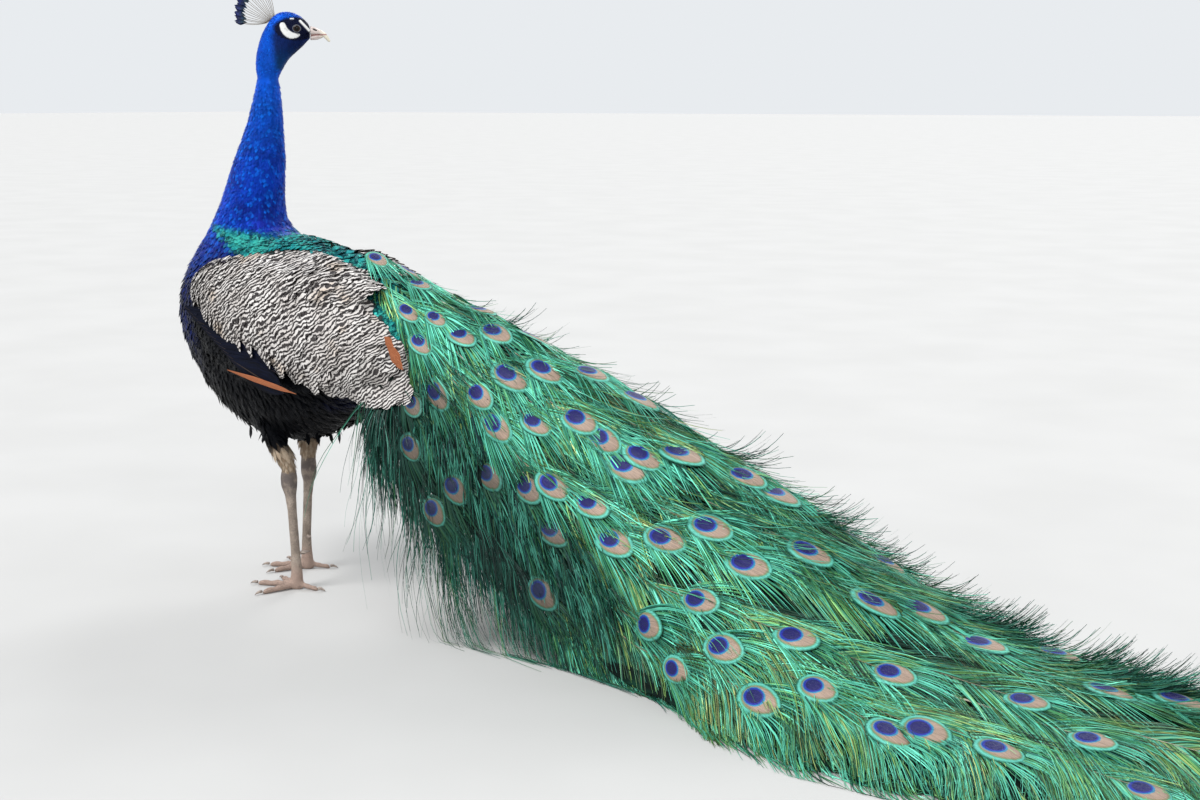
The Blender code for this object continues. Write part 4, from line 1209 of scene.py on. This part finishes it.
path = laidOnTrain(path, trainSpec["lift"] - 0.002 * t + 0.004 * t * rng.random(len(which))[:, None],
                   np.broadcast_to(t, path.shape[:2]))
rimParts = ribbonMesh(path, out[which], np.full(len(which), 0.0016), rng.normal(0, 0.35, len(which)))
barbMaterial = barbPaint()
# painted shade: fringe barbs of eyes below the shelf are darkened through 'layer' and show less mint sheen
values = dict(luck=(0.3 + 0.7 * rng.random(len(which))) * (1 - 0.5 * shade[which]), layer=0.78 * shade[which],
              tone=np.clip(0.36 + 0.12 * rng.normal(0, 1, len(which)), 0, 1))
coatPieces("eye_fringe", rimParts[0], rimParts[1], values, rimParts[2],
           trainAtlas(tipX[which], tipTurn[which], rimParts[0].shape[1]), barbMaterial, "train_feathers")

# shafts
shaftSteps = 10
s = np.linspace(0.0, 1.0, shaftSteps + 1)[None] * np.clip(tipX - 0.27, 0.01, 0.42)[:, None]
x = tipX[:, None] - s
turn = featherTurn(x, tipX[:, None], tipTurn[:, None])
shaftPath = onTrain(x, turn, trainSpec["lift"] * (1 - 0.8 * np.minimum(1, s / trainSpec["visible"])) + 0.0008)
shaftPath[..., 2] = np.maximum(shaftPath[..., 2], 0.002)
shaftMesh = ribbonMesh(shaftPath[:, ::-1], out, np.full(n, 0.0016), np.zeros(n), 0.5)


def shaftPaint():
    paint = Paint("shaftPaint", 0.4)
    along = paint.split(paint.node("ShaderNodeUVMap", {"uv_map": "vane"}), 1)
    colour = paint.mix(paint.between(along + paint.reads("luck") * 0.4, 0.2, 1.2), (0.62, 0.56, 0.44),
                       (0.16, 0.13, 0.07))
    return paint.set(Base_Color=colour)


bare = shade < 0.4
coatPieces("train_shafts", shaftMesh[0][bare], shaftMesh[1], dict(luck=rng.random(bare.sum())),
           shaftMesh[2][bare], trainAtlas(tipX, tipTurn, shaftMesh[0].shape[1])[bare], shaftPaint(),
           "train_feathers")


# Loose strands: hanging from the lower edges, and dark curled tufts along the ridge and the far side
def strandGroup(count, where, long, spread, sag, curl, tone, width, steps=6, hold=0.0, shade=0.1, wave=0.0,
                lift=0.0):
    x, turn = where(count)
    spot = onTrain(x, turn)
    shown = ~underFold(spot[:, 0], spot[:, 2], 0.004)
    x, turn, count = x[shown], turn[shown], int(shown.sum())
    along, across, out = trainFrame(x, turn, x + 0.15, turn)
    starts = onTrain(x, turn, 0.004 + lift)
    sign, length = np.sign(turn), even(long, count)
    path = ribbons(starts, along, across * sign[:, None], out, length, even(spread, count), 0.4,
                   even(sag, count), even(curl, count), steps)
    t = np.linspace(0, 1, steps + 1)[None]
    bend = np.sin(3.0 * t + 9.0 * x[:, None] + rng.normal(0, 0.6, (count, 1))) * t * wave * length[:, None]
    path = path + along[:, None] * bend[..., None]
    path = laidOnTrain(path, lift + 0.003 + 0.002 * rng.random(count)[:, None], np.full(path.shape[:2], hold))
    # a strand that would cross an eye ends before it
    near = (np.linalg.norm(path[:, 1:, None] - eyeSpots, axis=-1) < 0.017).any(2)
    reach = np.where(near.any(1), near.argmax(1), steps) / steps
    clear = reach > 0.3
    path, out, x, turn, count = path[clear], out[clear], x[clear], turn[clear], int(clear.sum())
    place = t * reach[clear][:, None] * steps
    low = np.minimum(place.astype(int), steps - 1)
    rest = (place - low)[..., None]
    path = (np.take_along_axis(path, low[..., None], 1) * (1 - rest) +
            np.take_along_axis(path, low[..., None] + 1, 1) * rest)
    addBarbs(path, out, np.full(count, width), rng.normal(0, 0.8, count), rng.random(count),
             np.full(count, shade), np.clip(tone[0] + tone[1] * rng.normal(0, 1, count), 0, 1),
             np.stack([x, turn], 1), 0.35)


def even(limits, count):
    low, high = limits
    return low + (high - low) * rng.random(count)


def clumped(low, high, clumps, spread):
    # strands gather round a few places, each with its own bend
    def pick(count):
        homes = low + (high - low) * rng.random(clumps)
        which = rng.integers(0, clumps, count)
        return homes[which] + rng.normal(0, spread, count), which
    return pick


def bothSides(count):
    return np.where(rng.random(count) < 0.5, -1, 1)


def lowerEdge(count):
    x, which = clumped(0.17, 0.74, 46, 0.010)(count)
    return x, (which % 2 * 2 - 1) * np.radians(66 + 22 * rng.random(count))


def sideLayer(count):
    x = 0.20 + 0.50 * rng.random(count)
    return x, bothSides(count) * (shelfTurn(x) + (np.radians(84) - shelfTurn(x)) * rng.random(count))


def underShelf(count):
    x = 0.285 + 0.355 * rng.random(count)
    return x, bothSides(count) * (shelfTurn(x) + np.radians(26 * rng.random(count)))


def breakLine(count):
    x = 0.24 + 0.60 * rng.random(count)
    return x, bothSides(count) * (shelfTurn(x) - np.radians(12 * rng.random(count)))


def groundEdge(count):
    x = 0.50 + 1.08 * rng.random(count)
    return x, bothSides(count) * np.radians(64 + 25 * rng.random(count))


def valley(count):
    return 0.86 + 0.68 * rng.random(count), np.radians(rng.uniform(-16, 16, count))


def ridgeStrands(count):
    return 0.24 + 1.30 * rng.random(count), np.radians(rng.uniform(-25, 40, count))


def topTufts(count, tufts=84):
    which = rng.integers(0, tufts, count)
    own = np.random.default_rng(5)
    spots, around = own.uniform(0.26, 1.40, tufts), own.uniform(2, 62, tufts)
    return spots[which] + rng.normal(0, 0.016, count), np.radians(around[which]) + rng.normal(0, 0.03, count)


# Each group: how many and where, the limits of length, spread, sag and curl, then the tone and
# its scatter, the width, and how dark and how close to the surface it lies.
strandSpec = [
    dict(count=1500, where=lowerEdge, long=(0.08, 0.27), spread=(0.1, 0.7), sag=(0.6, 2.6),
         curl=(-0.2, 0.3), tone=(0.32, 0.24), width=0.0011, steps=8, shade=0.62, wave=0.26),
    dict(count=8600, where=sideLayer, long=(0.05, 0.10), spread=(0.2, 0.9), sag=(0.8, 2.2),
         curl=(0.0, 0.3), tone=(0.14, 0.16), width=0.0015, hold=0.5, shade=0.72),
    dict(count=2600, where=breakLine, long=(0.06, 0.12), spread=(0.5, 0.8), sag=(0.8, 1.3),
         curl=(0.0, 0.2), tone=(0.74, 0.16), width=0.0023, hold=0.15, shade=0.05, wave=0.10),
    dict(count=3600, where=valley, long=(0.08, 0.13), spread=(0.1, 0.5), sag=(0.0, 0.2),
         curl=(0.0, 0.3), tone=(0.52, 0.18), width=0.0015, hold=0.7, shade=0.25),
    dict(count=6600, where=groundEdge, long=(0.05, 0.10), spread=(0.2, 0.8), sag=(0.4, 1.2),
         curl=(0.0, 0.3), tone=(0.50, 0.22), width=0.0014, hold=0.4),
    dict(count=5200, where=ridgeStrands, long=(0.090, 0.150), spread=(-0.1, 0.35), sag=(-0.50, -0.05),
         curl=(0.0, 0.3), tone=(0.44, 0.22), width=0.0015, shade=0.40),
    dict(count=3000, where=topTufts, long=(0.045, 0.105), spread=(-0.3, 0.55), sag=(-1.5, -0.4),
         curl=(0.0, 0.4), tone=(0.30, 0.20), width=0.0015, steps=7, shade=0.62),
    dict(count=2600, where=underShelf, long=(0.024, 0.055), spread=(0.2, 0.9), sag=(0.6, 1.6),
         curl=(0.0, 0.3), tone=(0.22, 0.20), width=0.0016, hold=0.85, shade=0.58, lift=0.010)]
for group in strandSpec:
    strandGroup(**group)
bySteps = {}
columns = (("luck", 4), ("layer", 5), ("tone", 6))
for part in barbParts:
    bySteps.setdefault(part[0].shape[1], []).append(part)
for k, (steps, parts) in enumerate(sorted(bySteps.items())):
    order = np.argsort(np.concatenate([p[7] for p in parts]), kind="stable")
    points, vane, atlas = (np.concatenate([p[i] for p in parts])[order] for i in (0, 2, 3))
    values = {key: np.concatenate([p[i] for p in parts])[order] for key, i in columns}
    coatPieces("train_barbs_" + "abcdef"[k], points, parts[0][1], values, vane, atlas, barbMaterial,
               "train_feathers")


# Teal scale feathers between the wings, over the front of the train
def backScales(start=-0.03, end=0.30):
    spots, x, row = [], start, 0
    while x < end:
        size = 0.013 + 0.016 * (x - start) / (end - start)
        for k in range(-9, 10):
            across = (k + 0.5 * (row % 2)) * size * 0.62
            if abs(across) < wingTop(x) + 0.006:
                spots.append((x + rng.normal(0, 0.0012), across, size))
        x += size * 0.42
        row += 1
    spots = np.array(spots)
    tree = surfaceOf("trunk", "neck_lower", "wing_left", "wing_right", *trainNodes)
    hits = [tree.ray_cast(Vector((x, y, 0.8)), Vector((0, 0, -1)), 0.5) for x, y, _ in spots]
    spots = spots[[hit[0] is not None for hit in hits]]
    hits = [hit for hit in hits if hit[0] is not None]
    roots = np.array([hit[0] for hit in hits])
    out = np.array([hit[1] if hit[1].z > 0 else -hit[1] for hit in hits])
    run = np.stack([np.ones(len(spots)), spots[:, 1] * 0.8, np.full(len(spots), -0.2)], 1)
    along = unit(run - (run * out).sum(1, keepdims=True) * out)
    template = gridTemplate(4, 4)
    n = len(spots)
    points, faces, vane = vanes(template, roots - out * 0.001, along, out,
                                spots[:, 2] * (0.9 + 0.2 * rng.random(n)), spots[:, 2] * 0.88,
                                np.full(n, 0.16), 0.2, rng.normal(0, 0.05, n))
    values = {key: np.zeros(n) for key in markNames}
    values["mantle"] = np.ones(n)
    values["luck"] = rng.random(n)
    u, v = bodyUnrolled(roots)
    coatPieces("back_scales", points, faces, values, vane, atlasPatches(template, u, v), coatPaint,
               "body_feathers")


backScales()
print("train made; coat triangles:", coatCount["triangles"])


# Crest: pale shafts with a webbed drop at each tip
crestSpec = dict(shafts=20, length=0.058, first=math.radians(97), last=math.radians(187),
                 root=(0.0010, 0.8705), shaftWidth=0.0008, tipLength=0.0175, tipWidth=0.0074)


def makeCrest():
    spec = crestSpec
    count = spec["shafts"]
    share = np.linspace(0, 1, count)
    lean = spec["first"] + (spec["last"] - spec["first"]) * share + rng.normal(0, 0.02, count)
    size = spec["length"] * (1 - 0.10 * share + 0.05 * np.sin(share * math.pi))
    size = size * (0.95 + 0.05 * rng.random(count))
    roots = np.array([fromHead(spec["root"][0] + 0.006 * (1 - 2 * s), rng.normal(0, 0.0012),
                               spec["root"][1] + 0.004 * (1 - 2 * s) - 0.001) for s in share])
    ends = np.array([fromHead(spec["root"][0] + size[k] * math.cos(lean[k]), rng.normal(0, 0.004),
                              spec["root"][1] + size[k] * math.sin(lean[k])) for k in range(count)])
    run = unit(ends - roots)
    side = np.broadcast_to(np.array(headSide), run.shape)
    t = np.linspace(0, 1, 7)[None, :, None]
    bow = np.cross(run, side) * (0.003 * np.linspace(-1, 1, count))[:, None]
    path = roots[:, None] + (ends - roots)[:, None] * t * 0.93 + bow[:, None] * np.sin(t * math.pi)
    points, faces, vane = ribbonMesh(path, side, np.full(count, spec["shaftWidth"]), np.zeros(count), 0.7)
    cross, _, _ = ribbonMesh(path, side, np.full(count, spec["shaftWidth"]), np.full(count, math.pi / 2), 0.7)
    points = np.concatenate([points, cross])
    luck = rng.random(len(points))
    u = np.tile(share, 2) * 0.8 + 0.1
    strip = trainAtlas(u, np.zeros(len(u)), points.shape[1], 0.02)
    coatPieces("crest_shafts", points, faces, dict(luck=luck), np.concatenate([vane, vane]), strip,
               crestShaft, "crest_feathers")
    template = gridTemplate(4, 6)

    def drop(t):
        return np.sin(np.pi * np.clip(t, 0.02, 0.97) ** 1.5) ** 0.8

    start = ends - run * spec["tipLength"] * 0.95
    parts = [vanes(template, start, run, side, np.full(count, spec["tipLength"]),
                   spec["tipWidth"] * (0.85 + 0.3 * rng.random(count)), np.zeros(count), camber, turn, drop)
             for camber, turn in ((0.15, rng.normal(0, 0.1, count)), (-0.15, rng.normal(0, 0.15, count)))]
    points = np.concatenate([p[0] for p in parts])
    vane = np.concatenate([p[2] for p in parts])
    atlas = atlasPatches(template, u, np.repeat([0.3, 0.7], count), 0.03)
    coatPieces("crest_tips", points, parts[0][1], dict(luck=rng.random(2 * count)), vane, atlas, crestTip,
               "crest_feathers", "crest")


def crestPaints():
    shaft = Paint("crestShaft", 0.5)
    tone = shaft.noise(120.0, 2.0)
    pale = shaft.mix(shaft.between(tone, 0.3, 0.7), (0.150, 0.115, 0.075), (0.270, 0.220, 0.155))
    shaft.set(Base_Color=pale)
    tip = Paint("crestTip", 0.42, 0.4)
    along = tip.split(tip.node("ShaderNodeUVMap", {"uv_map": "vane"}), 1)
    blue = tip.mix(tip.between(along + tip.reads("luck") * 0.3, 0.2, 0.9), (0.002, 0.035, 0.060),
                   (0.003, 0.012, 0.120))
    dark = tip.between(tip.noise(350.0, 2.0), 0.4, 0.65, 0.7, 0.0)
    tip.set(Base_Color=tip.mix(dark, blue, (0.002, 0.003, 0.010)))
    return shaft.material, tip.material


crestShaft, crestTip = crestPaints()
makeCrest()
print("crest made")


# Eyes, lids, bill and claws
def turnedToHead(bm):
    # from the head's own axes (forward, left, up) into the row
    for v in bm.verts:
        v.co = Vector(fromHead(*v.co)) + shift


eyeSpec = dict(radius=0.0068, place=(0.0396, 0.0100, 0.8570), pupil=0.0030, lidRing=0.00520, lidThick=0.0010,
               lidOut=0.0145, rimStart=0.0046, rimEnd=0.0054)


def eyeballPaint(side):
    paint = Paint("eyeball_" + side, 0.08, 0.0, Specular_IOR_Level=0.16)
    spec = eyeSpec
    w = spec["place"][1] * (1 if side == "left" else -1)
    centre = fromHead(spec["place"][0], w * 1.55, spec["place"][2])
    off = paint.node("ShaderNodeVectorMath", {"operation": "SUBTRACT"}, {0: paint.place, 1: tuple(centre)})
    away = paint.node("ShaderNodeVectorMath", {"operation": "LENGTH"}, {0: off}, out="Value")
    iris = paint.mix(paint.between(paint.noise(900.0, 2.0), 0.35, 0.65), (0.014, 0.006, 0.004),
                     (0.032, 0.014, 0.008))
    colour = paint.mix(paint.between(away, spec["pupil"], spec["pupil"] + 0.0004), (0.002, 0.002, 0.002),
                       iris)
    colour = paint.mix(paint.between(away, spec["rimStart"], spec["rimEnd"]), colour, (0.010, 0.006, 0.005))
    return paint.set(Base_Color=colour)


def lidPaint():
    paint = Paint("lidPaint", 0.55)
    fold = paint.noise(1500.0, 3.0)
    paint.relief(fold, 0.0003, 0.6)
    colour = paint.mix(paint.between(fold, 0.35, 0.7), (0.045, 0.050, 0.062), (0.130, 0.135, 0.150))
    return paint.set(Base_Color=colour)


lidMaterial = lidPaint()
for side, sign in (("left", 1), ("right", -1)):
    spec = eyeSpec
    u, w, h = spec["place"]
    bm = bmesh.new()
    bmesh.ops.create_uvsphere(bm, u_segments=40, v_segments=24, radius=spec["radius"])
    bmesh.ops.rotate(bm, verts=bm.verts, matrix=Euler((math.pi / 2, 0, 0)).to_matrix())
    bmesh.ops.translate(bm, verts=bm.verts, vec=(u, w * sign, h))
    turnedToHead(bm)
    mesh = bpy.data.meshes.new("eyeball_" + side)
    bmesh.ops.recalc_face_normals(bm, faces=bm.faces)
    bm.to_mesh(mesh)
    bm.free()
    asObject("eyeball_" + side, mesh, eyeballPaint(side), "eye", "eye_" + side)
    bm = bmesh.new()
    ring = bmesh.ops.create_circle(bm, segments=12, radius=spec["lidThick"], cap_ends=False)["verts"]
    bmesh.ops.rotate(bm, verts=ring, matrix=Euler((math.pi / 2, 0, 0)).to_matrix())
    bmesh.ops.translate(bm, verts=ring, vec=(spec["lidRing"], 0, 0))
    bmesh.ops.spin(bm, geom=bm.verts[:] + bm.edges[:], axis=(0, 0, 1), cent=(0, 0, 0), angle=math.tau,
                   steps=40, use_merge=True)
    bmesh.ops.remove_doubles(bm, verts=bm.verts, dist=1e-6)
    for v in bm.verts:
        # the upper lid is heavier, the corners are drawn out a little, and the ring hugs the ball
        turn = math.atan2(v.co.y, v.co.x)
        v.co.x *= 1.0 + 0.10 * abs(math.cos(turn)) ** 3
        v.co.y *= 0.96
        v.co.z += -0.0006 + 0.0005 * max(math.sin(turn), 0)
    bmesh.ops.rotate(bm, verts=bm.verts, matrix=Euler((math.pi / 2, 0, 0)).to_matrix())
    for v in bm.verts:
        v.co.y = -v.co.y if sign > 0 else v.co.y
    bmesh.ops.translate(bm, verts=bm.verts, vec=(u, sign * spec["lidOut"], h))
    turnedToHead(bm)
    bmesh.ops.recalc_face_normals(bm, faces=bm.faces)
    mesh = bpy.data.meshes.new("lids_" + side)
    bm.to_mesh(mesh)
    bm.free()
    asObject("lids_" + side, mesh, lidMaterial, "leg_scales")


def refined(name, node, material, slot, smoothing=3, swell=0.0):
    # a CAD solid made finer and rounder, in its own place
    bm = bmesh.new()
    bm.from_mesh(nodes[node].data)
    bmesh.ops.remove_doubles(bm, verts=bm.verts, dist=1e-5)
    flat = [e for e in bm.edges if len(e.link_faces) == 2 and e.calc_face_angle(0) < 0.03]
    bmesh.ops.dissolve_edges(bm, edges=[e for e in flat if e.calc_length() > 0.0], use_verts=False)
    mesh = bpy.data.meshes.new(name)
    bm.to_mesh(mesh)
    bm.free()
    made = asObject(name, mesh, material, slot, node)
    remesh = made.modifiers.new("remesh", "REMESH")
    remesh.mode = "VOXEL"
    remesh.voxel_size = 0.0006
    smooth = made.modifiers.new("smooth", "SMOOTH")
    smooth.iterations = smoothing
    graph = bpy.context.evaluated_depsgraph_get()
    finished = bpy.data.meshes.new_from_object(made.evaluated_get(graph))
    made.modifiers.clear()
    made.data = finished
    bm = bmesh.new()
    bm.from_mesh(finished)
    bm.normal_update()
    if swell:
        forward = headLocal(np.array([v.co for v in bm.verts]) - shiftRow)[:, 0]
        for v, more in zip(bm.verts, swell * (1 + 1.6 * smoothStep(0.072, 0.082, forward))):
            v.co += v.normal * more
    bm.to_mesh(finished)
    bm.free()
    finished.shade_smooth()
    return made


billSpec = dict(pale=(0.070, 0.084), skin=(0.0575, 0.0615), gape=(0.0526, 0.8472), gapeRise=0.05,
                nostril=(0.0668, 0.8556), nostrilDroop=0.35, nostrilSize=(0.0036, 0.0015))


def billPaint():
    paint = Paint("billPaint", 0.35, 0.0)
    start = tuple(fromHead(0, 0, 0))
    local = paint.node("ShaderNodeVectorRotate", {"rotation_type": "Z_AXIS"}, {
        "Vector": paint.node("ShaderNodeVectorMath", {"operation": "SUBTRACT"}, {0: paint.place, 1: start}),
        "Angle": -math.atan2(headForward.y, headForward.x)})
    u, h = paint.split(local, 0), paint.split(local, 2)
    streak = paint.noise(260.0, 3.0, paint.stretched((0.4, 0.4, 1.6)))
    horn = paint.mix(paint.between(streak, 0.35, 0.65), (0.420, 0.340, 0.320), (0.640, 0.550, 0.510))
    colour = paint.mix(paint.between(u, *billSpec["pale"]), horn, (0.780, 0.720, 0.580))
    colour = paint.mix(paint.between(u, *billSpec["skin"]), (0.020, 0.022, 0.035), colour)
    gapeU, gapeH = billSpec["gape"]
    overGape = h - gapeH - (u - gapeU) * billSpec["gapeRise"]
    fromGape = paint.node("ShaderNodeMath", {"operation": "ABSOLUTE"}, {0: overGape})
    gape = paint.between(fromGape, 0.0004, 0.0013)
    colour = paint.mix(1 - gape, colour, (0.420, 0.200, 0.180))
    holeU, holeH = billSpec["nostril"]
    long, tall = billSpec["nostrilSize"]
    off = paint.node("ShaderNodeCombineXYZ", {}, {
        0: (u - holeU) / long, 1: (h - holeH + (u - holeU) * billSpec["nostrilDroop"]) / tall})
    nostril = paint.node("ShaderNodeVectorMath", {"operation": "LENGTH"}, {0: off}, out="Value")
    # painted shade: the nostril opening is a dark patch on the closed bill, also pressed in by the bump
    hole = 1 - paint.between(nostril, 0.8, 1.15)
    colour = paint.mix(hole, colour, (0.020, 0.014, 0.012))
    paint.relief(streak * 0.4 - hole, 0.0006, 0.6)
    return paint.set(Base_Color=colour, Roughness=paint.between(streak, 0.3, 0.7, 0.28, 0.45))


def clawPaint():
    paint = Paint("clawPaint", 0.42)
    streak = paint.noise(300.0, 3.0, paint.stretched((0.5, 0.5, 1.5)))
    paint.relief(streak, 0.0004, 0.5)
    colour = paint.mix(paint.between(streak, 0.3, 0.7), (0.130, 0.100, 0.085), (0.380, 0.310, 0.260))
    return paint.set(Base_Color=colour)


horn, claw = billPaint(), clawPaint()
for node in ("bill_upper", "bill_lower"):
    refined(node + "_horn", node, horn, "bill_horn", 2, 0.0006)
for node in [n for n in nodes if n.startswith(("claw", "spur"))]:
    refined(node + "_horn", node, claw, "claw_horn", 2)


def tailPaint():
    paint = Paint("tailPaint", 0.7)
    streak = paint.noise(60.0, 4.0, paint.stretched((0.15, 1.0, 1.0)))
    paint.relief(streak, 0.001, 0.6)
    colour = paint.mix(paint.between(streak, 0.3, 0.7), (0.050, 0.036, 0.028), (0.180, 0.120, 0.080))
    return paint.set(Base_Color=colour)


nodes["tail"].data.materials.clear()
nodes["tail"].data.materials.append(tailPaint())
print("eyes, bill and claws made")


# Floor, light and camera
def floorPaint():
    paint = Paint("floorPaint", 0.8)
    clouds = paint.between(paint.noise(3.0, 2.0), 0.2, 0.8)
    return paint.set(Base_Color=paint.mix(clouds, (0.49, 0.485, 0.475), (0.52, 0.515, 0.505)))


bm = bmesh.new()
bmesh.ops.create_grid(bm, x_segments=2, y_segments=2, size=80.0)
mesh = bpy.data.meshes.new("floor")
bm.to_mesh(mesh)
bm.free()
floor = bpy.data.objects.new("floor", mesh)
bpy.context.scene.collection.objects.link(floor)
mesh.materials.append(floorPaint())
floor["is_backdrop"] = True

world = bpy.data.worlds.new("studio")
bpy.context.scene.world = world
world.use_nodes = True
world.node_tree.nodes["Background"].inputs["Color"].default_value = (0.88, 0.91, 0.94, 1)
world.node_tree.nodes["Background"].inputs["Strength"].default_value = 0.92
lights = {
    # name: where it shines from, aim, softness, power
    "key": ((-1.2, -2.6, 4.2), (0.0, 0.0, 0.3), 0.45, 2.3),
    "fill": ((3.2, -2.6, 2.0), (0.2, 0.0, 0.2), 0.60, 0.7),
    "rim": ((-1.0, 3.4, 3.4), (-0.2, 0.0, 0.4), 0.40, 0.8)}
for name, (place, aim, softness, power) in lights.items():
    lamp = bpy.data.lights.new(name, "SUN")
    lamp.angle = softness
    lamp.energy = power
    holder = bpy.data.objects.new(name, lamp)
    bpy.context.scene.collection.objects.link(holder)
    holder.location = place
    holder.rotation_euler = (Vector(aim) - Vector(place)).to_track_quat("-Z", "Y").to_euler()

viewSpec = dict(lens=50.01, sensor=36.0, place=(1.7662, -1.8976, 0.75044), down=0.17805807,
                turn=math.radians(33))
camera = bpy.data.cameras.new("camera")
camera.lens = viewSpec["lens"]
camera.sensor_width = viewSpec["sensor"]
cameraHolder = bpy.data.objects.new("camera", camera)
bpy.context.scene.collection.objects.link(cameraHolder)
cameraHolder.location = Vector(viewSpec["place"]) + shift
cameraHolder.rotation_euler = (math.pi / 2 - viewSpec["down"], 0, viewSpec["turn"])
bpy.context.scene.camera = cameraHolder
bpy.context.scene.view_settings.view_transform = "Standard"

sizes = dict(cad=[list(corner) for corner in cadBox], visual=[list(corner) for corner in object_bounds()])
print("sizes:", sizes)
